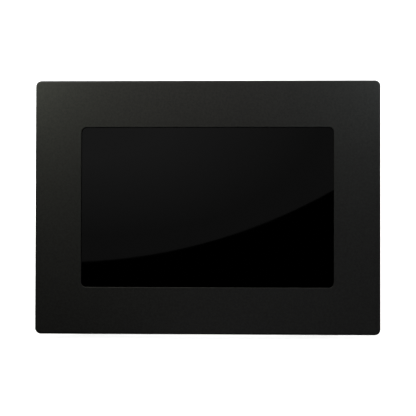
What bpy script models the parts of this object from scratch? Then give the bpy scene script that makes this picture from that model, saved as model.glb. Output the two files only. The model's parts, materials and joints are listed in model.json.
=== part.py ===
"""An 8 inch digital photo frame, leaning back on its fold-out leg.

Every piece is drawn in millimetres as if the frame stood upright: x runs to the viewer's
right, y runs back from the face of the shell and z runs up from the shell's bottom edge.
One empty then leans the whole assembly, so that its feet and its leg stand on z = 0.
"""

import math

import bmesh
import bpy
from mathutils import Matrix, Vector

MM = 0.001

# Fits between neighbours
SEAT = 0.15  # left between two faces that rest on each other
SLIDE = 0.3  # round a piece that drops into a hole or a tray
RUN = 0.1  # radial clearance of the leg on its pin

# Roundness of the drawn curves
CORNER_STEPS = 4
ROUND_STEPS = 12
POST_STEPS = 18
WIDE_STEPS = 24

# Front shell: a pressed steel tray with a window in its face
WIDTH = 240.0
HEIGHT = 176.5
CORNER = 4.0
EDGE_ROUND = 1.2
EDGE_STEPS = 3
SHELL_DEPTH = 12.0
SHELL_WALL = 1.5
WINDOW_WIDTH = 175.6
WINDOW_HEIGHT = 111.2
WINDOW_CORNER = 3.5
WINDOW_EDGE = 0.4
MIDDLE = HEIGHT / 2

# Screen stack, from the window back
TAPE_THICK = 0.4
GLASS_LAP = 3.5
GLASS_THICK = 1.8
GASKET_THICK = 0.5
ACTIVE_MARGIN = 0.7
PANEL_LAP = 1.2
CELL_THICK = 1.1
GUIDE_THICK = 1.4
TRAY_WALL = 0.8
TRAY_FLOOR = 0.5
PLATE_THICK = 0.8
PLATE_GAP = 1.0  # from the chassis plate's edge to the housing's inner side
PLATE_SCREW_INSET = 5.0
FLEX_WIDTH = 24.0
FLEX_THICK = 0.25
FLEX_BEND = 2.9  # how far the flex cable loops below the backlight tray

# Rear housing: a moulded cover with a flange inside the shell's rim
DEPTH = 26.0
HOUSING_INSET = 10.0
HOUSING_CORNER = 6.0
HOUSING_WALL = 2.0
HOUSING_ROUND = 2.0
FLANGE_THICK = 1.8
FLANGE_DROP = 0.2
BOSS_RADIUS = 4.5

# Screws: (shank radius, head radius, head height, shank length)
HOUSING_SCREW = (1.45, 2.7, 1.8, 7.0)
PLATE_SCREW = (1.45, 2.7, 1.7, 5.0)
BOARD_SCREW = (1.2, 2.2, 1.5, 4.0)
KEY_SCREW = (0.9, 1.8, 1.2, 4.0)
SCREW_POST_RADIUS = 3.0

# Lean and leg
LEAN = math.radians(15.0)
LEG_OPEN = math.radians(30.0)
FLOOR_GAP = 1.0  # under the shell's back bottom edge
HINGE_HEIGHT = 112.0
HINGE_DROP = 5.0  # from the back face in to the pin's axis
POCKET_DEPTH = 8.4
POCKET_FLOOR = 1.8
POCKET_HEAD = 8.0
LEG_WIDTH = 53.2
LEG_TIP_WIDTH = 42.0
LEG_THICK = 5.5
LEG_HEEL = 5.5
KNUCKLE_RADIUS = 3.0
PIN_RADIUS = 1.5
CLIP_THICK = 0.6
WASHER_THICK = 0.6
TIP_LENGTH = 7.0
TIP_THICK = 6.3
FOOT_SPACING = 160.0
FOOT_WIDTH = 26.0
FOOT_DEPTH = 9.0
FOOT_PEG_RADIUS = 2.2

# Electronics
BOARD_WIDTH = 70.0
BOARD_HEIGHT = 90.0
BOARD_THICK = 1.6
BOARD_LIFT = 3.2
BOARD_DROP = 24.5  # from the shell's top edge
SPEAKER_RADIUS = 15.0
SPEAKER_SIDE = 22.0  # from the housing's inner side to a speaker's middle
SPEAKER_HEIGHT = 34.0
GRILLE_SLOTS = 7
GRILLE_PITCH = 3.6
SLOT_WIDTH = 1.6
VENT_COUNT = 13
VENT_PITCH = 5.0
VENT_LENGTH = 9.0
VENT_DROP = 19.0  # from the keyholes to the lower vents
MOUNT_PITCH = 75.0
MOUNT_BORE = 1.7
PAD_RADIUS = 6.0
PAD_PROUD = 0.4
KEYHOLE_OUT = 68.0
KEYHOLE_DROP = 64.5
KEYHOLE_RADIUS = 4.25
KEYHOLE_SLOT = 2.1
KEYHOLE_RISE = 9.0

# Buttons on the back
BUTTONS = ("power", "menu", "previous", "play", "next")
BUTTON_PITCH = 12.0
BUTTON_RADIUS = 3.6
BUTTON_PROUD = 1.0
BUTTON_FLANGE = 1.2
BUTTON_LIP = 1.0
BUTTON_STEM = 1.5
BUTTON_SIDE = 8.0  # from the housing's inner side to the last button
BUTTON_DROP = 30.5
SWITCH_SIZE = 6.0
SWITCH_HEIGHT = 3.4
KEY_BOARD_HEIGHT = 14.0
RIBBON_WIDTH = 5.0
KEY_POST_RADIUS = 2.2

# Places that follow from the sizes above
TAPE_Y = SHELL_WALL + SEAT
GLASS_Y = TAPE_Y + TAPE_THICK + SEAT
GASKET_Y = GLASS_Y + GLASS_THICK + SEAT
CELL_Y = GASKET_Y + GASKET_THICK + SEAT
GUIDE_Y = CELL_Y + CELL_THICK + SEAT
TRAY_Y = GUIDE_Y + GUIDE_THICK + SEAT
PLATE_Y = TRAY_Y + TRAY_FLOOR + SEAT
PLATE_BACK = PLATE_Y + PLATE_THICK
BOARD_Y = PLATE_BACK + BOARD_LIFT + SEAT
BOARD_BACK = BOARD_Y + BOARD_THICK
PART_Y = BOARD_BACK + SEAT
GLASS_WIDTH = WINDOW_WIDTH + 2 * GLASS_LAP
GLASS_HEIGHT = WINDOW_HEIGHT + 2 * GLASS_LAP
PANEL_WIDTH = WINDOW_WIDTH + 2 * PANEL_LAP
PANEL_HEIGHT = WINDOW_HEIGHT + 2 * PANEL_LAP
TRAY_WIDTH = PANEL_WIDTH + 2 * (SLIDE + TRAY_WALL)
TRAY_HEIGHT = PANEL_HEIGHT + 2 * (SLIDE + TRAY_WALL)
TRAY_BOTTOM = MIDDLE - TRAY_HEIGHT / 2
BOX_WIDTH = WIDTH - 2 * HOUSING_INSET
BOX_HEIGHT = HEIGHT - 2 * HOUSING_INSET
ROOM_WIDTH = BOX_WIDTH - 2 * HOUSING_WALL
ROOM_HEIGHT = BOX_HEIGHT - 2 * HOUSING_WALL
FLANGE_BACK = SHELL_DEPTH - FLANGE_DROP
FLANGE_Y = FLANGE_BACK - FLANGE_THICK
ROOF = DEPTH - HOUSING_WALL  # inner side of the housing's back wall
FLANGE_STRIP = HOUSING_INSET - SHELL_WALL - SLIDE
SCREW_INSET = HOUSING_INSET - FLANGE_STRIP / 2
HINGE_Y = DEPTH - HINGE_DROP
POCKET_Y = DEPTH - POCKET_DEPTH
POCKET_TOP = HINGE_HEIGHT + POCKET_HEAD
POCKET_SIDE = WASHER_THICK + 2 * SLIDE
BUTTON_ROW_X = ROOM_WIDTH / 2 - BUTTON_SIDE - BUTTON_PITCH * (len(BUTTONS) - 1)
BUTTON_ROW_Z = HEIGHT - BUTTON_DROP
KEYHOLE_HEIGHT = HEIGHT - KEYHOLE_DROP
SPEAKER_OUT = ROOM_WIDTH / 2 - SPEAKER_SIDE
PLATE_WIDTH = ROOM_WIDTH - 2 * PLATE_GAP
PLATE_HEIGHT = ROOM_HEIGHT - 2 * PLATE_GAP
BOARD_TOP = HEIGHT - BOARD_DROP
BOARD_LEFT = -(ROOM_WIDTH / 2 - SLIDE)
BOARD_X = BOARD_LEFT + BOARD_WIDTH / 2
BOARD_Z = BOARD_TOP - BOARD_HEIGHT / 2
FLEX_X = BOARD_X + 12.0
FLOOR_AT_FACE = -FLOOR_GAP - SHELL_DEPTH * math.tan(LEAN)
LEG_TILT = LEG_OPEN - LEAN
HINGE_ABOVE_FLOOR = (HINGE_HEIGHT - FLOOR_AT_FACE - HINGE_Y * math.tan(LEAN)) * math.cos(LEAN)
LEG_LENGTH = HINGE_ABOVE_FLOOR / math.cos(LEG_TILT)


def floor_z(y):
    """Height of the table under the upright frame, at a depth y."""
    return FLOOR_AT_FACE + y * math.tan(LEAN)


# Drawing tools

PLACES = {
    "X": lambda u, v, along: Vector((along, u, v)),
    "Y": lambda u, v, along: Vector((u, along, v)),
    "Z": lambda u, v, along: Vector((u, v, along)),
}


def rounded(width, height, radius, centre=(0.0, 0.0), steps=CORNER_STEPS):
    """Points of a rectangle with round corners."""
    points = []
    for quarter, (side, up) in enumerate(((1, 1), (-1, 1), (-1, -1), (1, -1))):
        middle_u = centre[0] + side * (width / 2 - radius)
        middle_v = centre[1] + up * (height / 2 - radius)
        for step in range(steps + 1):
            angle = math.pi / 2 * (quarter + step / steps)
            points.append((middle_u + radius * math.cos(angle), middle_v + radius * math.sin(angle)))
    return points


def block(width, height, centre=(0.0, 0.0)):
    """Points of a rectangle with sharp corners."""
    u, v = centre
    return [(u + a * width / 2, v + b * height / 2) for a, b in ((1, 1), (-1, 1), (-1, -1), (1, -1))]


def circle(radius, centre=(0.0, 0.0), steps=ROUND_STEPS):
    """Points of a circle, with a flat at each side."""
    turns = [2 * math.pi * (step + 0.5) / steps for step in range(steps)]
    return [(centre[0] + radius * math.cos(a), centre[1] + radius * math.sin(a)) for a in turns]


def prism(outline, start, end, axis="Y"):
    """An outline extruded along an axis."""

    def draw(bm):
        place = PLACES[axis]
        face = bm.faces.new([bm.verts.new(place(u, v, start)) for u, v in outline])
        made = bmesh.ops.extrude_face_region(bm, geom=[face])["geom"]
        moved = [item for item in made if isinstance(item, bmesh.types.BMVert)]
        bmesh.ops.translate(bm, vec=place(0, 0, end - start), verts=moved)

    return draw


def loft(loops, closed=False, axis="Y"):
    """Outlines of equal count, each at its own depth, joined into one skin."""

    def draw(bm):
        place = PLACES[axis]
        rings = [[bm.verts.new(place(u, v, depth)) for u, v in outline] for outline, depth in loops]
        edges = []
        for ring in rings:
            edges.append([bm.edges.new((ring[i - 1], ring[i])) for i in range(len(ring))])
        pairs = list(zip(rings, rings[1:]))
        if closed:
            pairs.append((rings[-1], rings[0]))
        else:
            bm.faces.new(rings[0])
            bm.faces.new(rings[-1])
        for near, far in pairs:
            for i in range(len(near)):
                bm.faces.new((near[i - 1], near[i], far[i], far[i - 1]))

    return draw


def turned(profile, axis="Y", centre=(0.0, 0.0), steps=ROUND_STEPS, ring=False):
    """A profile of (radius, place along the axis) points spun about the axis."""

    def draw(bm):
        place = PLACES[axis]
        middle = place(centre[0], centre[1], 0)
        verts = [bm.verts.new(middle + place(radius, 0, along)) for radius, along in profile]
        pairs = list(zip(verts, verts[1:])) + ([(verts[-1], verts[0])] if ring else [])
        edges = [bm.edges.new(pair) for pair in pairs]
        bmesh.ops.spin(
            bm,
            geom=verts + edges,
            cent=middle,
            axis=place(0, 0, 1),
            angle=2 * math.pi,
            steps=steps,
            use_merge=True,
        )
        bmesh.ops.remove_doubles(bm, verts=bm.verts, dist=1e-4)

    return draw


def drawn_mesh(name, shapes):
    """A mesh in metres that holds the given shapes, facing out."""
    bm = bmesh.new()
    for shape in shapes:
        part = bmesh.new()
        shape(part)
        bmesh.ops.recalc_face_normals(part, faces=part.faces)
        held = bpy.data.meshes.new(name)
        part.to_mesh(held)
        part.free()
        bm.from_mesh(held)
        bpy.data.meshes.remove(held)
    bmesh.ops.transform(bm, matrix=Matrix.Scale(MM, 4), verts=bm.verts)
    mesh = bpy.data.meshes.new(name)
    bm.to_mesh(mesh)
    bm.free()
    mesh.shade_smooth()
    mesh.set_sharp_from_angle(angle=math.radians(35))
    return mesh


def place_object(name, data, parent, at=(0.0, 0.0, 0.0), turn=(0.0, 0.0, 0.0)):
    """An object at a place in millimetres, under its parent."""
    obj = bpy.data.objects.new(name, data)
    bpy.context.scene.collection.objects.link(obj)
    obj.parent = parent
    obj.location = Vector(at) * MM
    obj.rotation_euler = turn
    return obj


def piece(name, finish, *shapes, at=(0.0, 0.0, 0.0), turn=(0.0, 0.0, 0.0), parent=None):
    """A named solid with its material."""
    mesh = drawn_mesh(name, shapes)
    mesh.materials.append(finish)
    return place_object(name, mesh, parent or ASSEMBLY, at, turn)


def shaped(target, operation, shapes):
    """Cuts shapes from a solid, or joins them to it."""
    tool = place_object(f"{target.name}_{operation.lower()}", drawn_mesh("tool", shapes), target)
    tool.hide_render = True
    tool.display_type = "WIRE"
    modifier = target.modifiers.new(operation.title(), "BOOLEAN")
    modifier.object = tool
    modifier.operation = operation
    modifier.solver = "EXACT"


def cut(target, *shapes):
    shaped(target, "DIFFERENCE", shapes)


def join(target, *shapes):
    shaped(target, "UNION", shapes)


def finish(name, colour, roughness, metallic=0.0):
    """A plain material."""
    material = bpy.data.materials.new(name)
    material.use_nodes = True
    shader = material.node_tree.nodes["Principled BSDF"]
    shader.inputs["Base Color"].default_value = (*colour, 1.0)
    shader.inputs["Roughness"].default_value = roughness
    shader.inputs["Metallic"].default_value = metallic
    material.diffuse_color = (*colour, 1.0)
    return material


def screw_shape(sizes):
    """A pan head screw whose head rests on y = 0 and whose shank runs to -y."""
    shank, head, tall, length = sizes
    socket = 0.45 * head
    profile = (
        (0.0, 0.45 * tall),
        (socket, 0.45 * tall),
        (socket, tall),
        (0.8 * head, tall),
        (head, 0.55 * tall),
        (head, 0.0),
        (shank, 0.0),
        (shank, -length),
        (0.0, -length),
    )
    return turned(profile)


def screws(name, sizes, seat_y, places, turn=(0.0, 0.0, 0.0)):
    """One screw for each place, all sharing one mesh."""
    mesh = drawn_mesh(name, [screw_shape(sizes)])
    mesh.materials.append(ZINC)
    for number, (x, z) in enumerate(places, 1):
        place_object(f"{name}_{number}", mesh, ASSEMBLY, (x, seat_y, z), turn)


def corner_places(half_x, half_z, centre=(0.0, MIDDLE)):
    return [(centre[0] + a * half_x, centre[1] + b * half_z) for b in (-1, 1) for a in (-1, 1)]


def posts(places, radius, start, end):
    return [prism(circle(radius, place, POST_STEPS), start, end) for place in places]


# Front shell and screen

HOUSING_SCREW_PLACES = corner_places(WIDTH / 2 - SCREW_INSET, HEIGHT / 2 - SCREW_INSET) + [
    (0.0, SCREW_INSET),
    (0.0, HEIGHT - SCREW_INSET),
]
PLATE_SCREW_PLACES = corner_places(
    PLATE_WIDTH / 2 - PLATE_SCREW_INSET,
    PLATE_HEIGHT / 2 - PLATE_SCREW_INSET,
)


def shell_loops():
    """The shell's section, from the window's edge round the tray and back to it."""
    inner_width = WIDTH - 2 * SHELL_WALL
    inner_height = HEIGHT - 2 * SHELL_WALL
    centre = (0.0, MIDDLE)

    def window(grow, y):
        size = (WINDOW_WIDTH + 2 * grow, WINDOW_HEIGHT + 2 * grow)
        return rounded(*size, WINDOW_CORNER + grow, centre), y

    def outside(shrink, y):
        size = (WIDTH - 2 * shrink, HEIGHT - 2 * shrink)
        return rounded(*size, CORNER - shrink, centre), y

    loops = [window(WINDOW_EDGE, 0.0), window(0.3 * WINDOW_EDGE, 0.3 * WINDOW_EDGE)]
    loops += [window(0.0, WINDOW_EDGE), window(0.0, SHELL_WALL)]
    for y in (SHELL_WALL, SHELL_DEPTH):
        loops.append((rounded(inner_width, inner_height, CORNER - SHELL_WALL, centre), y))
    loops.append(outside(0.0, SHELL_DEPTH))
    for step in range(EDGE_STEPS + 1):
        angle = math.pi / 2 * step / EDGE_STEPS
        loops.append(outside(EDGE_ROUND * (1 - math.cos(angle)), EDGE_ROUND * (1 - math.sin(angle))))
    return loops


def make_shell():
    """The tray, with the posts that its screws run into."""
    shell = piece("front_shell", POWDER_COAT, loft(shell_loops(), closed=True))
    root = SHELL_WALL / 2
    join(
        shell,
        *posts(HOUSING_SCREW_PLACES, SCREW_POST_RADIUS, root, FLANGE_Y - SEAT),
        *posts(PLATE_SCREW_PLACES, SCREW_POST_RADIUS, root, PLATE_Y - SEAT),
    )
    bore = HOUSING_SCREW[0] + SEAT
    cut(
        shell,
        *posts(HOUSING_SCREW_PLACES, bore, SHELL_WALL + 0.4, FLANGE_Y + 1),
        *posts(PLATE_SCREW_PLACES, bore, SHELL_WALL + 0.4, PLATE_Y + 1),
    )


def frame_ring(outer, inner, corner, start, end):
    """A flat rectangular ring; outer and inner are (width, height)."""
    centre = (0.0, MIDDLE)
    loops = []
    for size, y in ((outer, start), (outer, end), (inner, end), (inner, start)):
        loops.append((rounded(*size, corner, centre), y))
    return loft(loops, closed=True)


def make_screen():
    """Tape, cover glass, gasket and the display module in its tray."""
    centre = (0.0, MIDDLE)
    tape_outer = (GLASS_WIDTH - 0.6, GLASS_HEIGHT - 0.6)
    tape_inner = (WINDOW_WIDTH + 1.2, WINDOW_HEIGHT + 1.2)
    piece("glass_tape", FOAM, frame_ring(tape_outer, tape_inner, 2.5, TAPE_Y, TAPE_Y + TAPE_THICK))
    edge = 0.2
    small = rounded(GLASS_WIDTH - 2 * edge, GLASS_HEIGHT - 2 * edge, 3.0 - edge, centre)
    full = rounded(GLASS_WIDTH, GLASS_HEIGHT, 3.0, centre)
    back = GLASS_Y + GLASS_THICK
    glass = [(small, GLASS_Y), (full, GLASS_Y + edge), (full, back - edge), (small, back)]
    piece("cover_glass", GLASS, loft(glass))
    gasket_outer = (PANEL_WIDTH - 1.0, PANEL_HEIGHT - 1.0)
    gasket_inner = (WINDOW_WIDTH - 2 * ACTIVE_MARGIN, WINDOW_HEIGHT - 2 * ACTIVE_MARGIN)
    piece("lcd_gasket", FOAM, frame_ring(gasket_outer, gasket_inner, 1.0, GASKET_Y, GASKET_Y + GASKET_THICK))
    panel = block(PANEL_WIDTH, PANEL_HEIGHT, centre)
    piece("lcd_cell", LCD_GLASS, prism(panel, CELL_Y, CELL_Y + CELL_THICK))
    piece("light_guide", ACRYLIC, prism(panel, GUIDE_Y, GUIDE_Y + GUIDE_THICK))
    inside = rounded(TRAY_WIDTH - 2 * TRAY_WALL, TRAY_HEIGHT - 2 * TRAY_WALL, 0.3, centre)
    outside = rounded(TRAY_WIDTH, TRAY_HEIGHT, 1.0, centre)
    tray_back = TRAY_Y + TRAY_FLOOR
    tray = piece(
        "backlight_tray",
        STEEL,
        loft([(outside, tray_back), (outside, CELL_Y), (inside, CELL_Y), (inside, TRAY_Y)]),
    )
    cut(tray, prism(block(FLEX_WIDTH + 4, 4.0, (FLEX_X, TRAY_BOTTOM)), CELL_Y - 1, GUIDE_Y + 1))


def strip(path, thick):
    """The outline of a thin strip that follows a path of (u, v) points."""
    left, right = [], []
    for i, (u, v) in enumerate(path):
        before = Vector(path[max(i - 1, 0)])
        after = Vector(path[min(i + 1, len(path) - 1)])
        into = (Vector((u, v)) - before).normalized() if i else (after - before).normalized()
        out = (after - Vector((u, v))).normalized() if i < len(path) - 1 else into
        side = Vector((-(into + out).y, (into + out).x)).normalized()
        reach = thick / 2 / max(0.5, side.dot(Vector((-into.y, into.x))))
        left.append((u + side.x * reach, v + side.y * reach))
        right.append((u - side.x * reach, v - side.y * reach))
    return left + right[::-1]


def make_chassis():
    """The plate that holds the display in the shell and carries the main board."""
    outline = rounded(PLATE_WIDTH, PLATE_HEIGHT, 3.0, (0.0, MIDDLE))
    plate = piece("chassis_plate", STEEL, prism(outline, PLATE_Y, PLATE_BACK))
    join(plate, *posts(BOARD_SCREW_PLACES, 2.4, PLATE_Y + 0.4, BOARD_Y - SEAT))
    bore = BOARD_SCREW[0] + SEAT
    windows = [block(34.0, 30.0, (x, z)) for x in (18.0, 62.0) for z in (MIDDLE - 25, MIDDLE + 25)]
    windows.append(block(FLEX_WIDTH + 4, 2 * FLEX_BEND, (FLEX_X, TRAY_BOTTOM - FLEX_BEND)))
    cut(
        plate,
        *posts(BOARD_SCREW_PLACES, bore, PLATE_Y - 1, BOARD_Y + 1),
        *posts(PLATE_SCREW_PLACES, PLATE_SCREW[0] + SLIDE, PLATE_Y - 1, PLATE_BACK + 1),
        *[prism(window, PLATE_Y - 1, PLATE_BACK + 1) for window in windows],
    )
    screws("chassis_screw", PLATE_SCREW, PLATE_BACK + SEAT, PLATE_SCREW_PLACES)
    below = TRAY_BOTTOM - FLEX_BEND
    behind = PLATE_BACK + 1.2
    path = [(CELL_Y + 0.6, TRAY_BOTTOM + 0.9), (CELL_Y + 0.6, below + 0.6), (CELL_Y + 1.2, below)]
    path += [(behind - 0.6, below), (behind, below + 0.6), (behind, BOARD_BOTTOM - 7.0)]
    path += [(PART_Y + 1.0, BOARD_BOTTOM - 2.0), (PART_Y + 1.0, FLEX_SOCKET_Z - 2.7)]
    start, end = FLEX_X - FLEX_WIDTH / 2, FLEX_X + FLEX_WIDTH / 2
    piece("lcd_flex", FLEX_FILM, prism(strip(path, FLEX_THICK), start, end, "X"))


# Main board and what is soldered to it

BOARD_BOTTOM = BOARD_TOP - BOARD_HEIGHT
BOARD_SCREW_PLACES = corner_places(BOARD_WIDTH / 2 - 4, BOARD_HEIGHT / 2 - 4, (BOARD_X, BOARD_Z))
FLEX_SOCKET_Z = BOARD_BOTTOM + 7.0
KEY_SOCKET = (BOARD_X + 32.5, BUTTON_ROW_Z - 5.5)
SPEAKER_SOCKET = (BOARD_X - 10.0, BOARD_BOTTOM + 5.0)
PORT_FACE = BOARD_LEFT + 0.1
DC_Z = BOARD_BOTTOM + 22.0
AUDIO_Z = BOARD_BOTTOM + 34.0
USB_Z = BOARD_BOTTOM + 48.5
CARD_Z = BOARD_BOTTOM + 70.0
DC_SIZE = (14.0, 9.0, 9.0)
AUDIO_SIZE = (12.0, 7.0, 6.0)
USB_SIZE = (14.0, 13.2, 6.2)
CARD_SIZE = (26.0, 26.5, 3.6)


def make_main_board():
    """The board, with its small soldered parts joined to it."""
    outline = rounded(BOARD_WIDTH, BOARD_HEIGHT, 1.5, (BOARD_X, BOARD_Z), steps=2)
    board = piece("main_board", SOLDER_MASK, prism(outline, BOARD_Y, BOARD_BACK))
    sunk = BOARD_BACK - 0.4
    small_parts = [
        prism(block(FLEX_WIDTH + 2, 4.6, (FLEX_X, FLEX_SOCKET_Z)), sunk, BOARD_BACK + 2.2),
        prism(block(4.0, 8.0, KEY_SOCKET), sunk, BOARD_BACK + 2.4),
        prism(block(6.0, 4.0, SPEAKER_SOCKET), sunk, BOARD_BACK + 4.0),
        prism(block(7.0, 7.0, (BOARD_X - 12, BOARD_Z - 14)), sunk, BOARD_BACK + 3.2),
        prism(circle(3.1, (BOARD_X - 12, BOARD_Z - 25), 10), sunk, BOARD_BACK + 5.4),
        prism(circle(3.1, (BOARD_X - 3, BOARD_Z - 25), 10), sunk, BOARD_BACK + 5.4),
        prism(block(8.0, 11.0, (BOARD_X + 23, BOARD_Z + 14)), sunk, BOARD_BACK + 1.1),
        prism(block(11.0, 4.4, (BOARD_X + 5, BOARD_Z + 23)), sunk, BOARD_BACK + 3.4),
    ]
    join(board, *small_parts)
    cut(board, *posts(BOARD_SCREW_PLACES, BOARD_SCREW[0] + SLIDE, BOARD_Y - 1, BOARD_BACK + 1))
    screws("board_screw", BOARD_SCREW, BOARD_BACK + SEAT, BOARD_SCREW_PLACES)
    chip = (BOARD_X + 7, BOARD_Z + 8)
    side, tall, edge = 15.0, 1.2, 0.3
    full, small = block(side, side, chip), block(side - 2 * edge, side - 2 * edge, chip)
    piece("processor", EPOXY, loft([(full, PART_Y), (full, PART_Y + tall - edge), (small, PART_Y + tall)]))
    make_coin_cell()


def make_coin_cell():
    """The clock's battery in its holder."""
    centre = (BOARD_X + 18, BOARD_Z - 22)
    cell_radius, cell_thick, floor, wall = 10.0, 3.2, 0.8, 1.2
    inside = cell_radius + SLIDE
    cell_y = PART_Y + floor + SEAT
    cup = (
        (0.0, PART_Y),
        (inside + wall, PART_Y),
        (inside + wall, cell_y + 0.6 * cell_thick),
        (inside, cell_y + 0.6 * cell_thick),
        (inside, PART_Y + floor),
        (0.0, PART_Y + floor),
    )
    piece("coin_cell_holder", BLACK_ABS, turned(cup, centre=centre, steps=WIDE_STEPS))
    rim = 0.4
    disc = (
        (0.0, cell_y),
        (cell_radius - 1.2, cell_y),
        (cell_radius - 1.2, cell_y + rim),
        (cell_radius, cell_y + rim),
        (cell_radius, cell_y + cell_thick),
        (0.0, cell_y + cell_thick),
    )
    piece("coin_cell", ZINC, turned(disc, centre=centre, steps=WIDE_STEPS))


def port_body(name, material, size, z):
    """A socket's block on the board, with its mouth at the housing's side wall."""
    deep, wide, tall = size
    middle_y = PART_Y + tall / 2
    outline = rounded(tall, wide, 0.5, (middle_y, z), steps=1)
    return piece(name, material, prism(outline, PORT_FACE, PORT_FACE + deep, "X")), middle_y


def port_hole_y(size):
    return PART_Y + size[2] / 2


def make_ports():
    """Power, sound, stick and card sockets along the board's outer edge."""
    mouth = PORT_FACE - 1
    jack, y = port_body("dc_jack", BLACK_ABS, DC_SIZE, DC_Z)
    ring = ((1.0, mouth), (2.8, mouth), (2.8, PORT_FACE + 10), (1.0, PORT_FACE + 10))
    cut(jack, turned(ring, "X", (y, DC_Z), ring=True))
    cut(jack, prism(circle(2.0, (y, DC_Z)), mouth, PORT_FACE + 1.5, "X"))
    sound, y = port_body("audio_jack", BLACK_ABS, AUDIO_SIZE, AUDIO_Z)
    cut(sound, prism(circle(1.8, (y, AUDIO_Z)), mouth, PORT_FACE + 11, "X"))
    usb, y = port_body("usb_port", STEEL, USB_SIZE, USB_Z)
    cut(usb, prism(block(5.2, 12.2, (y, USB_Z)), mouth, PORT_FACE + 12.5, "X"))
    join(usb, prism(block(1.9, 11.0, (y - 0.6, USB_Z)), PORT_FACE + 1.5, PORT_FACE + 13.2, "X"))
    card, y = port_body("card_slot", STEEL, CARD_SIZE, CARD_Z)
    cut(card, prism(block(2.4, 24.4, (y, CARD_Z)), mouth, PORT_FACE + 24, "X"))


def port_holes():
    """Openings in the housing's side wall, one for each socket."""
    start, end = -BOX_WIDTH / 2 - 3, -ROOM_WIDTH / 2 + 1
    grow = 2 * SLIDE
    usb = rounded(USB_SIZE[2] + grow, USB_SIZE[1] + grow, 1.0, (port_hole_y(USB_SIZE), USB_Z), 2)
    card = rounded(CARD_SIZE[2] + grow, CARD_SIZE[1] + grow, 1.0, (port_hole_y(CARD_SIZE), CARD_Z), 2)
    return [
        prism(circle(3.9, (port_hole_y(DC_SIZE), DC_Z), WIDE_STEPS), start, end, "X"),
        prism(circle(2.9, (port_hole_y(AUDIO_SIZE), AUDIO_Z), WIDE_STEPS), start, end, "X"),
        prism(usb, start, end, "X"),
        prism(card, start, end, "X"),
    ]


# Buttons

BUTTON_PLACES = [(BUTTON_ROW_X + i * BUTTON_PITCH, BUTTON_ROW_Z) for i in range(len(BUTTONS))]
LIP_BACK = ROOF - SLIDE
STEM_END = LIP_BACK - BUTTON_LIP - 2.1
SWITCH_BACK = LIP_BACK - BUTTON_LIP - 1.05
SWITCH_Y = SWITCH_BACK - SWITCH_HEIGHT
KEY_BOARD_BACK = SWITCH_Y - SEAT
KEY_BOARD_Y = KEY_BOARD_BACK - BOARD_THICK
KEY_BOARD_Z = BUTTON_ROW_Z - 1.5
KEY_BOARD_LEFT = BUTTON_ROW_X - 9.0
KEY_BOARD_RIGHT = BUTTON_ROW_X + BUTTON_PITCH * (len(BUTTONS) - 1) + 6.0
KEY_POST_Z = BUTTON_ROW_Z - 5.8
KEY_POSTS = [(BUTTON_ROW_X + (i + 0.5) * BUTTON_PITCH, KEY_POST_Z) for i in (0, len(BUTTONS) - 2)]


def make_buttons():
    """Five push buttons, their switches and the small board behind them."""
    for number, (name, (x, z)) in enumerate(zip(BUTTONS, BUTTON_PLACES), 1):
        front = BUTTON_PROUD + DEPTH - ROOF + SLIDE
        lip = BUTTON_RADIUS + BUTTON_FLANGE
        cap = (
            (0.0, front),
            (BUTTON_RADIUS - 0.5, front),
            (BUTTON_RADIUS, front - 0.5),
            (BUTTON_RADIUS, 0.0),
            (lip, 0.0),
            (lip, -BUTTON_LIP),
            (BUTTON_STEM, -BUTTON_LIP),
            (BUTTON_STEM, STEM_END - LIP_BACK),
            (0.0, STEM_END - LIP_BACK),
        )
        piece(f"button_{name}", BUTTON_RUBBER, turned(cap, steps=16), at=(x, LIP_BACK, z))
        switch = piece(
            f"key_switch_{number}",
            EPOXY,
            prism(block(SWITCH_SIZE, SWITCH_SIZE), 0.0, SWITCH_HEIGHT),
            at=(x, SWITCH_Y, z),
        )
        cut(switch, prism(circle(BUTTON_STEM + SLIDE), SWITCH_HEIGHT - 2.2, SWITCH_HEIGHT + 1))
    width = KEY_BOARD_RIGHT - KEY_BOARD_LEFT
    centre = ((KEY_BOARD_LEFT + KEY_BOARD_RIGHT) / 2, KEY_BOARD_Z)
    outline = rounded(width, KEY_BOARD_HEIGHT, 1.5, centre, steps=2)
    board = piece("key_board", SOLDER_MASK, prism(outline, KEY_BOARD_Y, KEY_BOARD_BACK))
    cut(board, *posts(KEY_POSTS, KEY_SCREW[0] + SLIDE, KEY_BOARD_Y - 1, KEY_BOARD_BACK + 1))
    screws("key_board_screw", KEY_SCREW, KEY_BOARD_Y - SEAT, KEY_POSTS, turn=(math.pi, 0.0, 0.0))
    make_ribbon()


def make_ribbon():
    """The flat cable from the key board to the main board."""
    over_key = KEY_BOARD_BACK + SEAT + FLEX_THICK / 2
    over_main = BOARD_BACK + 1.3
    socket_end = KEY_SOCKET[0] + 2.0 + SLIDE
    path = [(KEY_BOARD_LEFT + 4.5, over_key), (KEY_BOARD_LEFT - 2.5, over_key)]
    path += [(KEY_BOARD_LEFT - 8.0, over_main), (socket_end, over_main)]
    low = KEY_SOCKET[1] - RIBBON_WIDTH / 2
    piece("key_ribbon", FLEX_FILM, prism(strip(path, FLEX_THICK), low, low + RIBBON_WIDTH, "Z"))


# Speakers

SPEAKER_FACE = ROOF - 0.8


def make_speaker(name, x):
    face = SPEAKER_FACE
    r = SPEAKER_RADIUS
    profile = (
        (0.0, face - 1.6),
        (0.27 * r, face - 2.2),
        (0.33 * r, face - 3.4),
        (0.8 * r, face - 0.7),
        (0.87 * r, face),
        (r, face),
        (r, face - 1.4),
        (0.84 * r, face - 1.8),
        (0.63 * r, face - 4.6),
        (0.63 * r, face - 7.8),
        (0.0, face - 7.8),
    )
    piece(name, SPEAKER_BLACK, turned(profile, centre=(x, SPEAKER_HEIGHT), steps=WIDE_STEPS))


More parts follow.
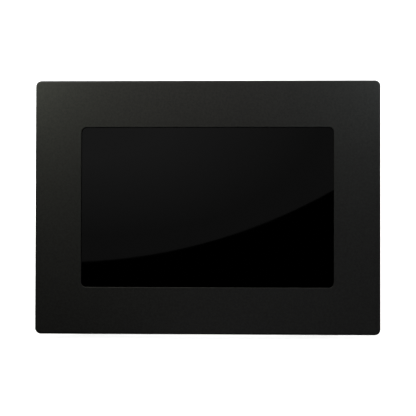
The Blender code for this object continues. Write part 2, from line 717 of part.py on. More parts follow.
def smooth_path(points, spacing):
    """Points at an even spacing on a curve through the given points."""
    knots = [Vector(p) for p in points]
    ends = [2 * knots[0] - knots[1]] + knots + [2 * knots[-1] - knots[-2]]
    path = [knots[0]]
    for a, b, c, d in zip(ends, ends[1:], ends[2:], ends[3:]):
        count = max(1, round((c - b).length / spacing))
        for step in range(1, count + 1):
            t = step / count
            cubic = (3 * b - a - 3 * c + d) * t**3 + (2 * a - 5 * b + 4 * c - d) * t**2
            path.append((2 * b + (c - a) * t + cubic) / 2)
    return path


LEAD_RADIUS = 0.6


def make_lead(name, points):
    """A speaker's two-core lead, held inside the case."""
    curve = bpy.data.curves.new(name, "CURVE")
    curve.dimensions = "3D"
    curve.bevel_depth = LEAD_RADIUS * MM
    curve.bevel_resolution = 2
    curve.use_fill_caps = True
    path = smooth_path(points, 6 * LEAD_RADIUS)
    spline = curve.splines.new("POLY")
    spline.points.add(len(path) - 1)
    for point, place in zip(spline.points, path):
        point.co = (*(place * MM), 1.0)
    curve.materials.append(LEAD_PVC)
    place_object(name, curve, ASSEMBLY)


def make_speakers():
    terminal_y = SPEAKER_FACE - 3.6
    x, y, z = SPEAKER_SOCKET[0], PART_Y + 1.6, SPEAKER_SOCKET[1] - 2.0 - LEAD_RADIUS - SLIDE
    for name, side in (("left", -1), ("right", 1)):
        make_speaker(f"speaker_{name}", side * SPEAKER_OUT)
    out = SPEAKER_OUT - 0.75 * SPEAKER_RADIUS
    up = SPEAKER_HEIGHT + 0.72 * SPEAKER_RADIUS
    left = [(-out, terminal_y, up), (-out + 2, terminal_y, up + 3), (x - 1, y + 0.5, z - 4), (x - 1, y, z)]
    right = [
        (out, terminal_y, up),
        (out - 4, terminal_y, up + 2),
        (out - 20, y - 1.5, z - 9),
        (out - 60, y - 2, z - 11),
        (x + 30, y - 2, z - 11),
        (x + 6, y, z - 8),
        (x + 1, y + 0.3, z - 4),
        (x + 1, y, z),
    ]
    make_lead("speaker_lead_left", left)
    make_lead("speaker_lead_right", right)


# Rear housing

LEG_STRAIGHT = 8.0  # of the leg below the hinge before it tapers


def leg_outline(grow, top, bottom):
    """The leg's plan, grown by a margin, from a height to a height about the hinge."""
    wide, narrow = LEG_WIDTH / 2 + grow, LEG_TIP_WIDTH / 2 + grow
    taper = (wide - narrow) / (LEG_LENGTH - LEG_STRAIGHT)
    low = wide - taper * (-bottom - LEG_STRAIGHT)
    right = [(low, bottom), (wide, -LEG_STRAIGHT), (wide, top)]
    return right + [(-u, v) for u, v in reversed(right)]


def pocket_outline(grow, top, bottom):
    """The pocket's plan in the housing's own coordinates."""
    points = leg_outline(POCKET_SIDE + grow, top - HINGE_HEIGHT, bottom - HINGE_HEIGHT)
    return [(x, z + HINGE_HEIGHT) for x, z in points]


def housing_loops():
    """The cover's section, from its back face out to the flange and into its room."""
    centre = (0.0, MIDDLE)
    loops = []
    for step in range(EDGE_STEPS, -1, -1):
        angle = math.pi / 2 * step / EDGE_STEPS
        shrink = HOUSING_ROUND * (1 - math.cos(angle))
        y = DEPTH - HOUSING_ROUND * (1 - math.sin(angle))
        size = (BOX_WIDTH - 2 * shrink, BOX_HEIGHT - 2 * shrink)
        loops.append((rounded(*size, HOUSING_CORNER - shrink, centre), y))
    flange = rounded(
        WIDTH - 2 * (SHELL_WALL + SLIDE),
        HEIGHT - 2 * (SHELL_WALL + SLIDE),
        CORNER - SHELL_WALL - SLIDE,
        centre,
    )
    room = rounded(ROOM_WIDTH, ROOM_HEIGHT, HOUSING_CORNER - HOUSING_WALL, centre)
    loops.append((rounded(BOX_WIDTH, BOX_HEIGHT, HOUSING_CORNER, centre), FLANGE_BACK))
    loops += [(flange, FLANGE_BACK), (flange, FLANGE_Y), (room, FLANGE_Y), (room, ROOF)]
    return loops


def grille_slots(x):
    """Slots that fill a circle in front of a speaker."""
    reach = SPEAKER_RADIUS - 1.5
    slots = []
    for number in range(GRILLE_SLOTS):
        rise = (number - (GRILLE_SLOTS - 1) / 2) * GRILLE_PITCH
        length = 2 * math.sqrt(reach**2 - rise**2)
        slots.append(block(length, SLOT_WIDTH, (x, SPEAKER_HEIGHT + rise)))
    return slots


def vent_slots(centre_x, centre_z):
    first = centre_x - VENT_PITCH * (VENT_COUNT - 1) / 2
    return [block(SLOT_WIDTH, VENT_LENGTH, (first + i * VENT_PITCH, centre_z)) for i in range(VENT_COUNT)]


def keyhole(x):
    """A round hole for a screw's head with a slot above it for the shank."""
    z = KEYHOLE_HEIGHT
    points = []
    gap = math.asin(KEYHOLE_SLOT / KEYHOLE_RADIUS)
    for step in range(ROUND_STEPS + 1):
        angle = math.pi / 2 + gap + (2 * math.pi - 2 * gap) * step / ROUND_STEPS
        points.append((x + KEYHOLE_RADIUS * math.cos(angle), z + KEYHOLE_RADIUS * math.sin(angle)))
    for step in range(7):
        angle = math.pi * step / 6
        points.append((x + KEYHOLE_SLOT * math.cos(angle), z + KEYHOLE_RISE + KEYHOLE_SLOT * math.sin(angle)))
    return points


MOUNT_PLACES = corner_places(MOUNT_PITCH / 2, MOUNT_PITCH / 2)
FOOT_PLACES = [(-FOOT_SPACING / 2, "left"), (FOOT_SPACING / 2, "right")]
FOOT_Y = (FLANGE_BACK + DEPTH - HOUSING_ROUND) / 2 + 0.6
BOX_BOTTOM = HOUSING_INSET


def speaker_collar(x):
    inner, outer = SPEAKER_RADIUS + SLIDE, SPEAKER_RADIUS + 1.8
    collar = ((inner, SPEAKER_FACE - 1.6), (outer, SPEAKER_FACE - 1.6), (outer, ROOF + 1), (inner, ROOF + 1))
    return turned(collar, centre=(x, SPEAKER_HEIGHT), steps=WIDE_STEPS, ring=True)


def make_housing():
    housing = piece("rear_housing", BLACK_ABS, loft(housing_loops()))
    through = ROOF - 1, DEPTH + 2
    walls = pocket_outline(HOUSING_WALL, POCKET_TOP + HOUSING_WALL, BOX_BOTTOM + HOUSING_WALL / 2)
    join(
        housing,
        prism(walls, POCKET_Y - POCKET_FLOOR, ROOF + HOUSING_WALL / 2),
        *posts(KEY_POSTS, KEY_POST_RADIUS, KEY_BOARD_BACK + SEAT, ROOF + 1),
        speaker_collar(-SPEAKER_OUT),
        speaker_collar(SPEAKER_OUT),
    )
    join(housing, *posts(MOUNT_PLACES, BOSS_RADIUS, ROOF - 5, ROOF + HOUSING_WALL / 2))
    join(housing, *[prism(circle(PAD_RADIUS, p, 16), ROOF + 1, DEPTH + PAD_PROUD) for p in MOUNT_PLACES])
    cut(housing, prism(pocket_outline(0.0, POCKET_TOP, BOX_BOTTOM - 5), POCKET_Y, DEPTH + 2))
    pin_hole = PIN_RADIUS + SEAT
    wall_reach = LEG_WIDTH / 2 + POCKET_SIDE + HOUSING_WALL + 1
    under, above = BOX_BOTTOM - 1, BOX_BOTTOM + HOUSING_WALL + 1
    peg_hole = FOOT_PEG_RADIUS + SLIDE
    pegs = [prism(circle(peg_hole, (x, FOOT_Y)), under, above, "Z") for x, _ in FOOT_PLACES]
    slots = grille_slots(-SPEAKER_OUT) + grille_slots(SPEAKER_OUT)
    slots += vent_slots(BOARD_X, (BOARD_TOP + BOX_BOTTOM + BOX_HEIGHT) / 2)
    slots += vent_slots(-BOARD_X, KEYHOLE_HEIGHT - VENT_DROP)
    keyholes = [keyhole(-KEYHOLE_OUT), keyhole(KEYHOLE_OUT)]
    cut(
        housing,
        prism(circle(pin_hole, (HINGE_Y, HINGE_HEIGHT)), -wall_reach, wall_reach, "X"),
        *[prism(outline, *through) for outline in slots + keyholes],
        *posts(BUTTON_PLACES, BUTTON_RADIUS + SLIDE, *through),
        *posts(MOUNT_PLACES, MOUNT_BORE, ROOF - 4, DEPTH + 2),
        *posts(KEY_POSTS, KEY_SCREW[0] + 0.1, KEY_BOARD_BACK, ROOF - 1),
        *posts(HOUSING_SCREW_PLACES, HOUSING_SCREW[0] + SLIDE, FLANGE_Y - 1, FLANGE_BACK + 1),
        *pegs,
        *port_holes(),
    )
    screws("housing_screw", HOUSING_SCREW, FLANGE_BACK + SEAT, HOUSING_SCREW_PLACES)


def make_feet():
    """Rubber blocks under the cover, cut to stand flat on the table at the frame's lean."""
    front, back = FOOT_Y - FOOT_DEPTH / 2, FOOT_Y + FOOT_DEPTH / 2
    top = BOX_BOTTOM - SEAT
    side = [(front, top), (back, top), (back, floor_z(back)), (front, floor_z(front))]
    above = BOX_BOTTOM + HOUSING_WALL + SLIDE
    peg = (
        (0.0, top - 2),
        (FOOT_PEG_RADIUS, top - 2),
        (FOOT_PEG_RADIUS, above),
        (FOOT_PEG_RADIUS + 0.9, above),
        (FOOT_PEG_RADIUS, above + 1.2),
        (0.0, above + 1.2),
    )
    for x, name in FOOT_PLACES:
        foot = piece(
            f"rubber_foot_{name}",
            RUBBER,
            prism(side, -FOOT_WIDTH / 2, FOOT_WIDTH / 2, "X"),
            at=(x, 0.0, 0.0),
        )
        join(foot, turned(peg, "Z", (0.0, FOOT_Y)))


# Fold-out leg, drawn folded, with its pin's axis at the origin

STOP_REACH = HINGE_Y - POCKET_Y - SEAT
TONGUE_WIDTH = 30.0
TONGUE_THICK = 2.0
TONGUE_LENGTH = 4.0
RIB = 1.8
RIB_COLUMNS = 3
RIB_ROWS = 4
LEG_SKIN = 1.6


def leg_end(u):
    """How far down the leg the table is, at a place u across the leg's thickness."""
    return -(HINGE_ABOVE_FLOOR + u * math.sin(LEG_TILT)) / math.cos(LEG_TILT)


def stop_wedge():
    """What the heel loses so that it lies on the pocket's floor when the leg is open."""
    reach = 20.0
    along = Vector((math.sin(LEG_OPEN), math.cos(LEG_OPEN)))
    out = Vector((-math.cos(LEG_OPEN), math.sin(LEG_OPEN)))
    near = out * STOP_REACH
    corners = (near - along * reach, near + along * reach, near + along * reach + out * reach)
    return [tuple(p) for p in (*corners, near - along * reach + out * reach)]


def rib_pockets(bottom):
    """A grid of hollows in the leg's inner side."""
    top = -KNUCKLE_RADIUS - 2.5
    width = (LEG_TIP_WIDTH - 2 * RIB - (RIB_COLUMNS - 1) * RIB) / RIB_COLUMNS
    height = (top - bottom - (RIB_ROWS - 1) * RIB) / RIB_ROWS
    cells = []
    for column in range(RIB_COLUMNS):
        x = (column - (RIB_COLUMNS - 1) / 2) * (width + RIB)
        for row in range(RIB_ROWS):
            z = bottom + height / 2 + row * (height + RIB)
            cells.append(prism(block(width, height, (x, z)), -LEG_THICK, LEG_THICK / 2 - LEG_SKIN))
    return cells


def make_stand():
    pivot = place_object("stand_pivot", None, ASSEMBLY, (0.0, HINGE_Y, HINGE_HEIGHT), (LEG_OPEN, 0.0, 0.0))
    half = LEG_THICK / 2
    end = leg_end(half) + TIP_LENGTH
    leg = piece("stand_leg", BLACK_ABS, prism(leg_outline(0.0, LEG_HEEL, end), -half, half), parent=pivot)
    cut(leg, prism(stop_wedge(), -LEG_WIDTH, LEG_WIDTH, "X"))
    join(leg, prism(circle(KNUCKLE_RADIUS, steps=WIDE_STEPS), -LEG_WIDTH / 2, LEG_WIDTH / 2, "X"))
    tongue = block(TONGUE_THICK, TONGUE_LENGTH + 2, (0.0, end - TONGUE_LENGTH / 2 + 1))
    join(leg, prism(tongue, -TONGUE_WIDTH / 2, TONGUE_WIDTH / 2, "X"))
    bore = circle(PIN_RADIUS + RUN, steps=16)
    cut(leg, prism(bore, -LEG_WIDTH, LEG_WIDTH, "X"), *rib_pockets(end + RIB + 2))
    make_tip(pivot, end)
    make_pin()


def make_tip(pivot, leg_bottom):
    """The leg's rubber tip, pushed over its tongue."""
    near, far = -TIP_THICK / 2, TIP_THICK / 2
    top = leg_bottom - SEAT
    side = [(near, top), (far, top), (far, leg_end(far)), (near, leg_end(near))]
    wide = LEG_TIP_WIDTH / 2 + 0.2
    tip = piece("stand_tip", RUBBER, prism(side, -wide, wide, "X"), parent=pivot)
    room = block(TONGUE_THICK + 2 * SEAT, TONGUE_LENGTH + 1.3, (0.0, top - TONGUE_LENGTH / 2 + 0.35))
    reach = TONGUE_WIDTH / 2 + SLIDE
    cut(tip, prism(room, -reach, reach, "X"))


def make_pin():
    """The steel pin, its two clips and the washers that give the leg its drag."""
    wall = LEG_WIDTH / 2 + POCKET_SIDE + HOUSING_WALL
    groove_start = wall + SEAT
    groove_end = groove_start + CLIP_THICK + 2 * SEAT
    groove = PIN_RADIUS - 0.4
    half = [(groove_start, PIN_RADIUS), (groove_start, groove), (groove_end, groove)]
    half += [(groove_end, PIN_RADIUS), (groove_end + 0.8, PIN_RADIUS), (groove_end + 0.8, 0.0)]
    profile = [(r, -x) for x, r in reversed(half)] + [(r, x) for x, r in half]
    hinge = (0.0, HINGE_Y, HINGE_HEIGHT)
    piece("stand_pin", STEEL, turned(profile, "X", steps=16), at=hinge)
    mouth = math.radians(35)
    arc = [mouth + (2 * math.pi - 2 * mouth) * i / 16 for i in range(17)]
    outer = [((PIN_RADIUS + 1.4) * math.cos(a), (PIN_RADIUS + 1.4) * math.sin(a)) for a in arc]
    inner = [((groove + SEAT) * math.cos(a), (groove + SEAT) * math.sin(a)) for a in reversed(arc)]
    washer_in, washer_out = PIN_RADIUS + 0.2, KNUCKLE_RADIUS
    gap = (POCKET_SIDE - WASHER_THICK) / 2
    for name, side in (("left", -1), ("right", 1)):
        clip_at = side * (groove_start + SEAT)
        clip = prism(outer + inner, clip_at, clip_at + side * CLIP_THICK, "X")
        piece(f"stand_clip_{name}", STEEL, clip, at=hinge)
        near = side * (LEG_WIDTH / 2 + gap)
        far = near + side * WASHER_THICK
        ring = ((washer_in, near), (washer_out, near), (washer_out, far), (washer_in, far))
        piece(f"stand_washer_{name}", STEEL, turned(ring, "X", steps=16, ring=True), at=hinge)


# The whole object

for old in list(bpy.data.objects):
    bpy.data.objects.remove(old, do_unlink=True)

POWDER_COAT = finish("powder_coat", (0.012, 0.012, 0.011), 0.62)
BLACK_ABS = finish("black_abs", (0.014, 0.014, 0.014), 0.55)
GLASS = finish("glass", (0.004, 0.004, 0.005), 0.03)
LCD_GLASS = finish("lcd_glass", (0.002, 0.002, 0.002), 0.25)
ACRYLIC = finish("acrylic", (0.8, 0.8, 0.8), 0.15)
FOAM = finish("foam", (0.02, 0.02, 0.02), 0.95)
STEEL = finish("steel", (0.55, 0.56, 0.57), 0.35, 1.0)
ZINC = finish("zinc", (0.6, 0.6, 0.6), 0.3, 1.0)
SOLDER_MASK = finish("solder_mask", (0.01, 0.09, 0.03), 0.4)
EPOXY = finish("epoxy", (0.015, 0.015, 0.016), 0.5)
FLEX_FILM = finish("flex_film", (0.35, 0.14, 0.02), 0.35)
BUTTON_RUBBER = finish("button_rubber", (0.03, 0.03, 0.032), 0.7)
SPEAKER_BLACK = finish("speaker_black", (0.02, 0.02, 0.02), 0.6)
LEAD_PVC = finish("lead_pvc", (0.03, 0.03, 0.03), 0.5)
RUBBER = finish("rubber", (0.02, 0.02, 0.02), 0.85)

# The origin is under the middle of the leaning frame's box: half way between the round of
# the shell's bottom front edge and the back of the leg's tip.
FRONT_REACH = EDGE_ROUND * (math.cos(LEAN) + math.sin(LEAN) - 1)
TIP_BACK = TIP_THICK / 2 * math.cos(LEG_TILT) - leg_end(TIP_THICK / 2) * math.sin(LEG_TILT)
BACK_REACH = HINGE_Y * math.cos(LEAN) + HINGE_HEIGHT * math.sin(LEAN) + TIP_BACK
ORIGIN_Y = (FRONT_REACH + BACK_REACH) / 2
FLOOR_DROP = FLOOR_AT_FACE * math.cos(LEAN)

ASSEMBLY = place_object("assembly", None, None, (0.0, -ORIGIN_Y, -FLOOR_DROP), (-LEAN, 0.0, 0.0))
make_shell()
make_screen()
make_chassis()
make_main_board()
make_ports()
make_buttons()
make_speakers()
make_housing()
make_feet()
make_stand()
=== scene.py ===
"""A digital photo frame on its fold-out leg, with its finishes, its stage and its light.

New pieces are drawn in millimetres along the frame's own axes, as if it stood upright: x to the right,
y back from its face and z up from its bottom edge. LEANED then puts them in the world, where the frame
leans back on its leg.
"""

import json
import math
from types import SimpleNamespace

import bmesh
import bpy
from mathutils import Matrix, Vector

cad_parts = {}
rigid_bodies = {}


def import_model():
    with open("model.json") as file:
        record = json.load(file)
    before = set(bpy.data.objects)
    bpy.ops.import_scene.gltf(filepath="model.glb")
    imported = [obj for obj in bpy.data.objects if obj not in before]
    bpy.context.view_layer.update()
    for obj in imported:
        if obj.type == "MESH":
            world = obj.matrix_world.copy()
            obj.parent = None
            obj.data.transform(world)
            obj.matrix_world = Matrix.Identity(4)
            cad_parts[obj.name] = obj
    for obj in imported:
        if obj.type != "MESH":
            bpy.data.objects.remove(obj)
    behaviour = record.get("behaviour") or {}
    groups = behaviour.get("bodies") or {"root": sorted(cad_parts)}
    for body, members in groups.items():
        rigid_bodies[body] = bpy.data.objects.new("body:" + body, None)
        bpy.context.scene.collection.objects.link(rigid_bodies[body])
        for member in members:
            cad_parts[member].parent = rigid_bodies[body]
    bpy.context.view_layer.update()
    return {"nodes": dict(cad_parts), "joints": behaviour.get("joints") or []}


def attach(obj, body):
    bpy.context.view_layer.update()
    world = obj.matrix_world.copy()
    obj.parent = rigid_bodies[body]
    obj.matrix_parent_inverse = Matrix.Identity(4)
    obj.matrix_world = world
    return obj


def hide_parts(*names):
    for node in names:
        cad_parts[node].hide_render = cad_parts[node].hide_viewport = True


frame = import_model()

bl_info = {
    "name": "Digital photo frame",
    "version": (1, 0, 0),
    "blender": (4, 5, 0),
    "location": "3D View > Sidebar > Photo Frame",
    "description": "Builds a digital photo frame that stands on a fold-out leg",
    "category": "Add Mesh",
}

MM = 0.001
NODES = frame["nodes"]
JOINTS = {joint["name"]: joint for joint in frame["joints"]}
BUTTONS = ("power", "menu", "previous", "play", "next")
SOCKET_HOLES = {"dc_jack": 3.9, "audio_jack": 2.9, "usb_port": None, "card_slot": None}  # radius where round
# How many of each screw there are, and its head's height and its shank's radius in millimetres
SCREWS = {
    "housing_screw": (6, 1.8, 1.45),
    "chassis_screw": (4, 1.7, 1.45),
    "board_screw": (4, 1.5, 1.2),
    "key_board_screw": (2, 1.2, 0.9),
}

# Sizes in millimetres that more than one piece needs
LEG_HALF = 2.75  # half the leg's thickness
LEG_KINK = 8.0  # from the hinge down to where the leg starts to narrow
TIP_LAP = 0.2  # how much wider the tip is than the leg on each side
PAD_RISE = 0.4  # how far the bracket pads stand proud of the cover's back
POCKET_DEPTH = 8.4

PRESS = JOINTS["power_press"]["axis"]
LEAN = math.atan2(PRESS[2], -PRESS[1])
FOLD = JOINTS["stand_fold"]
LEG_OPEN = math.radians(FOLD["range_deg"][1])


def own_box(node, axes):
    """A node's lowest and highest corners along the given axes, in millimetres."""
    back = axes.inverted()
    points = [(back @ vertex.co) / MM for vertex in NODES[node].data.vertices]
    return Vector(map(min, zip(*points))), Vector(map(max, zip(*points)))


def axes_of_frame():
    """The frame's own axes, from the middle of its bottom edge."""
    turn = Matrix.Rotation(-LEAN, 4, "X")
    low, high = own_box("front_shell", turn)
    return turn @ Matrix.Translation(Vector(((low.x + high.x) / 2, low.y, low.z)) * MM)


LEANED = axes_of_frame()
LEG_AXES = Matrix.Translation(FOLD["pos_m"]) @ Matrix.Rotation(LEG_OPEN - LEAN, 4, "X")
HINGE = (LEANED.inverted() @ Vector(FOLD["pos_m"])) / MM
SIDEWAYS = Matrix.Rotation(-math.pi / 2, 4, "Z")  # turns a shape's depth from y to x
UPWARDS = Matrix.Rotation(math.pi / 2, 4, "X")  # turns a shape's depth from y to z


# Sizes and colours that a user would change


def length(name, description, value):
    """A length setting, given in millimetres."""
    return bpy.props.FloatProperty(
        name=name, description=description, default=value * MM, min=0.0, unit="LENGTH", subtype="DISTANCE"
    )


def angle(name, description, value):
    """An angle setting, given in degrees."""
    return bpy.props.FloatProperty(
        name=name, description=description, default=math.radians(value), unit="ROTATION", subtype="ANGLE"
    )


def linear(code):
    """An sRGB colour written in hex, as linear light."""
    channels = [int(code[place : place + 2], 16) / 255 for place in (1, 3, 5)]
    return tuple(c / 12.92 if c <= 0.04045 else ((c + 0.055) / 1.055) ** 2.4 for c in channels)


def colour(name, description, code):
    """A colour setting, given in sRGB hex."""
    return bpy.props.FloatVectorProperty(
        name=name, description=description, default=linear(code), min=0.0, max=1.0, size=3, subtype="COLOR"
    )


class PHOTOFRAME_PG_shell(bpy.types.PropertyGroup):
    """Sizes of the front shell and its window"""

    wall: length("Wall", "Thickness of the sheet steel", 1.5)
    corner: length("Corner", "Radius of the face's four corners", 4.0)
    edge: length("Edge", "Radius between the face and the sides", 1.4)
    glass_lap: length("Glass lap", "How far the glass reaches behind the window's edge", 3.5)
    window_corner: length("Window corner", "Radius of the window's corners", 3.5)
    window_edge: length("Window edge", "Radius between the face and the window's rim", 0.4)
    post: length("Post", "Radius of a screw post", 3.0)


class PHOTOFRAME_PG_cover(bpy.types.PropertyGroup):
    """Sizes of the back cover"""

    inset: length("Inset", "From the shell's side in to the cover's side", 10.0)
    corner: length("Corner", "Radius of the cover's corners", 6.0)
    edge: length("Edge", "Radius between the cover's back and its sides", 2.0)
    wall: length("Wall", "Thickness of the moulding", 2.0)
    flange: length("Flange", "Thickness of the flange", 1.8)
    slot: length("Slot", "Width of the vents and grille slots", 1.6)
    bracket_pitch: length("Bracket pitch", "Spacing of the wall bracket's four holes", 75.0)
    keyhole_spacing: length("Keyhole spacing", "Between the two wall keyholes", 136.0)
    keyhole_drop: length("Keyhole drop", "From the shell's top edge to a keyhole's round end", 64.5)
    vent_drop: length("Vent drop", "From the keyholes down to the lower vents", 19.0)
    grille: length("Grille", "Radius of the speaker grilles", 13.5)
    soft: length("Softened edge", "Rounding of cut edges", 0.3)


class PHOTOFRAME_PG_colours(bpy.types.PropertyGroup):
    """Colours of the finishes"""

    coat_dark: colour("Coat, dark", "Hollows of the powder coat", "#0f0f0f")
    coat_light: colour("Coat, light", "Grains of the powder coat", "#222222")
    moulding: colour("Moulding", "The cover's black plastic", "#1b1b1c")
    print: colour("Symbols", "Ink of the symbols on the buttons", "#b9bcbe")
    rubber: colour("Rubber", "The feet and the leg's tip", "#1a1a1a")


class PHOTOFRAME_PG_stage(bpy.types.PropertyGroup):
    """Camera and light"""

    distance: length("Distance", "From the middle of the face to the camera", 1000.0)
    yaw: angle("Yaw", "How far to the right of square on the camera stands", 2.39)
    pitch: angle("Pitch", "How far above square on the camera stands", -0.99)
    roll: angle("Roll", "The camera's own roll", 0.124)
    lens: bpy.props.FloatProperty(
        name="Lens", description="Focal length on a 36 mm sensor", default=124.7, min=1.0, unit="CAMERA"
    )
    aim_right: bpy.props.FloatProperty(
        name="Aim right",
        description="Where the camera aims, right of the middle",
        default=0.63 * MM,
        unit="LENGTH",
    )
    aim_up: bpy.props.FloatProperty(
        name="Aim up", description="Where the camera aims, above it", default=-0.47 * MM, unit="LENGTH"
    )


def millimetres(settings):
    """A group's lengths as plain numbers in millimetres."""
    return SimpleNamespace(**{key: getattr(settings, key) / MM for key in settings.__annotations__})


# Shapes in bmesh


def weld(bm):
    """Joins points that lie within a tenth of a micrometre."""
    bmesh.ops.remove_doubles(bm, verts=bm.verts, dist=1e-4)


def face_out(bm):
    """Turns every face outwards."""
    bmesh.ops.recalc_face_normals(bm, faces=bm.faces)


def rim(bm, width, height, corner, depth, centre=(0.0, 0.0), steps=8):
    """The edge of a rectangle with round corners that stands at a depth."""
    verts = bmesh.ops.create_grid(bm, x_segments=1, y_segments=1, size=0.5)["verts"]
    place = Matrix.Translation((centre[0], depth, centre[1])) @ UPWARDS
    bmesh.ops.transform(bm, matrix=place @ Matrix.Diagonal((width, height, 1.0, 1.0)), verts=verts)
    if corner:
        verts = bmesh.ops.bevel(
            bm, geom=verts, offset=corner, offset_type="OFFSET", affect="VERTICES", segments=steps,
            profile=0.5, material=-1, clamp_overlap=True,
        )["verts"]
    face = verts[0].link_faces[0]
    edges = list(face.edges)
    bmesh.ops.delete(bm, geom=[face], context="FACES_ONLY")
    return edges


def bridge(bm, *rims):
    """A skin over successive rims."""
    for near, far in zip(rims, rims[1:]):
        bmesh.ops.bridge_loops(bm, edges=near + far)


def cap(bm, *rims):
    """Closes rims with flat faces."""
    for edges in rims:
        bmesh.ops.edgeloop_fill(bm, edges=edges)


def soften(bm, edges, width, segments=2):
    """Rounds edges over."""
    bmesh.ops.bevel(
        bm, geom=edges, offset=width, offset_type="OFFSET", affect="EDGES", segments=segments,
        profile=0.5, material=-1, clamp_overlap=False, loop_slide=False,
    )


def stack(width, height, corner, stations, centre=(0.0, 0.0), steps=8):
    """A solid with round corners over stations: each is a depth and the growth there on every side."""
    bm = bmesh.new()
    rims = []
    for depth, grow in stations:
        rims.append(rim(bm, width + 2 * grow, height + 2 * grow, corner + grow, depth, centre, steps))
    bridge(bm, *rims)
    cap(bm, rims[0], rims[-1])
    return bm


def slab(width, height, corner, near, far, centre=(0.0, 0.0), steps=8, edge=0.0):
    """A solid with round corners between two depths, with both its rims rounded over."""
    bm = stack(width, height, corner, ((near, 0.0), (far, 0.0)), centre, steps)
    if edge:
        soften(bm, [e for e in bm.edges if abs(e.verts[0].co.y - e.verts[1].co.y) < 1e-6], edge)
    return bm


def mouth(width, height, corner, near, face, soft, centre=(0.0, 0.0), steps=8):
    """A tool for a hole that opens at a face deeper than near, with a rounded edge there.

    Its last rim stands just past the face, because a Boolean is unsure of a rim that lies in it.
    """
    past = 0.01
    stations = [(near, 0.0)]
    for turn in (0.0, math.pi / 4, math.pi / 2):
        stations.append((face + past - soft * (1 - math.sin(turn)), soft * (1 - math.cos(turn))))
    return stack(width, height, corner, stations + [(face + 3.0, soft + past)], centre, steps)


def bore(radius, near, face, soft, centre=(0.0, 0.0)):
    """A tool for a round hole with a rounded edge."""
    return mouth(2 * radius, 2 * radius, 0.999 * radius, near, face, soft, centre, 10)


def drum(radius, near, far, centre=(0.0, 0.0), steps=32):
    """A round solid between two depths."""
    bm = bmesh.new()
    bmesh.ops.create_cone(
        bm, cap_ends=True, segments=steps, radius1=radius, radius2=radius, depth=far - near
    )
    return moved(bm, Matrix.Translation((centre[0], (near + far) / 2, centre[1])) @ UPWARDS)


def spun(profile, centre=(0.0, 0.0), steps=32, ring=False):
    """A section of (radius, depth) points spun about a line through the centre that runs back."""
    bm = bmesh.new()
    verts = [bm.verts.new((centre[0] + radius, depth, centre[1])) for radius, depth in profile]
    pairs = list(zip(verts, verts[1:])) + ([(verts[-1], verts[0])] if ring else [])
    edges = [bm.edges.new(pair) for pair in pairs]
    middle = (centre[0], 0.0, centre[1])
    bmesh.ops.spin(
        bm, geom=verts + edges, cent=middle, axis=(0, 1, 0), angle=math.tau, steps=steps, use_merge=True
    )
    weld(bm)
    return bm


def wedge(wide, narrow, top, kink, bottom, near, far):
    """A solid that is straight down to its kink and narrows from there to its bottom."""
    bm = slab(wide, top - bottom, 0.0, near, far, (0.0, (top + bottom) / 2), steps=1)
    geom = bm.verts[:] + bm.edges[:] + bm.faces[:]
    bmesh.ops.bisect_plane(bm, geom=geom, plane_co=(0.0, 0.0, kink), plane_no=(0.0, 0.0, 1.0))
    low = [v for v in bm.verts if v.co.z < bottom + 0.001]
    bmesh.ops.scale(bm, vec=(narrow / wide, 1.0, 1.0), verts=low)
    return bm


def moved(bm, matrix):
    """The same shape, put somewhere else."""
    bmesh.ops.transform(bm, matrix=matrix, verts=bm.verts)
    return bm


def absorb(bm, parts, material=0):
    """Adds separate shapes to a mesh, each facing out and with its own finish."""
    for part in parts:
        weld(part)
        face_out(part)
        if material:
            for face in part.faces:
                face.material_index = material
        held = bpy.data.meshes.new("held")
        part.to_mesh(held)
        part.free()
        bm.from_mesh(held)
        bpy.data.meshes.remove(held)
    return bm


def group(*parts):
    """Separate shapes as one mesh, each facing out."""
    return absorb(bmesh.new(), parts)


def carve(bm, operation, *tools):
    """Joins shapes to a mesh, or cuts them away."""
    tool = group(*tools)
    blanks = []
    for source in (bm, tool):
        weld(source)
        mesh = bpy.data.meshes.new("blank")
        source.to_mesh(mesh)
        blank = bpy.data.objects.new("blank", mesh)
        bpy.context.scene.collection.objects.link(blank)
        blanks.append(blank)
    tool.free()
    modifier = blanks[0].modifiers.new("carve", "BOOLEAN")
    modifier.object, modifier.operation, modifier.solver = blanks[1], operation, "EXACT"
    result = bpy.data.meshes.new_from_object(blanks[0].evaluated_get(bpy.context.evaluated_depsgraph_get()))
    bm.clear()
    bm.from_mesh(result)
    for mesh in [result] + [blank.data for blank in blanks]:
        bpy.data.meshes.remove(mesh)
    weld(bm)
    if not bm.faces:
        raise RuntimeError("a Boolean took everything away")
    return bm


def sharp_edges(bm, limit, wanted):
    """Edges sharper than a limit in degrees whose middle is wanted."""
    found = []
    for edge in bm.edges:
        if len(edge.link_faces) == 2 and abs(edge.calc_face_angle_signed()) > math.radians(limit):
            if wanted((edge.verts[0].co + edge.verts[1].co) / 2):
                found.append(edge)
    return found


def settle(name, bm, finishes, body, stands_for, axes=LEANED, smooth=35.0):
    """Makes a piece of a mesh drawn in millimetres: it rides on a body and stands for CAD nodes."""
    weld(bm)
    bmesh.ops.transform(bm, matrix=axes @ Matrix.Scale(MM, 4), verts=bm.verts)
    mesh = bpy.data.meshes.new(name)
    bm.to_mesh(mesh)
    bm.free()
    for material in finishes:
        mesh.materials.append(material)
    mesh.shade_smooth()
    mesh.set_sharp_from_angle(angle=math.radians(smooth))
    piece = bpy.data.objects.new(name, mesh)
    bpy.context.scene.collection.objects.link(piece)
    flats = piece.modifiers.new("flat_faces_stay_flat", "WEIGHTED_NORMAL")
    flats.keep_sharp, flats.weight = True, 100
    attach(piece, body)
    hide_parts(*stands_for)
    return piece


def dress(material, *nodes):
    """Gives CAD nodes their finish."""
    for node in nodes:
        NODES[node].data.materials.clear()
        NODES[node].data.materials.append(material)


# Finishes


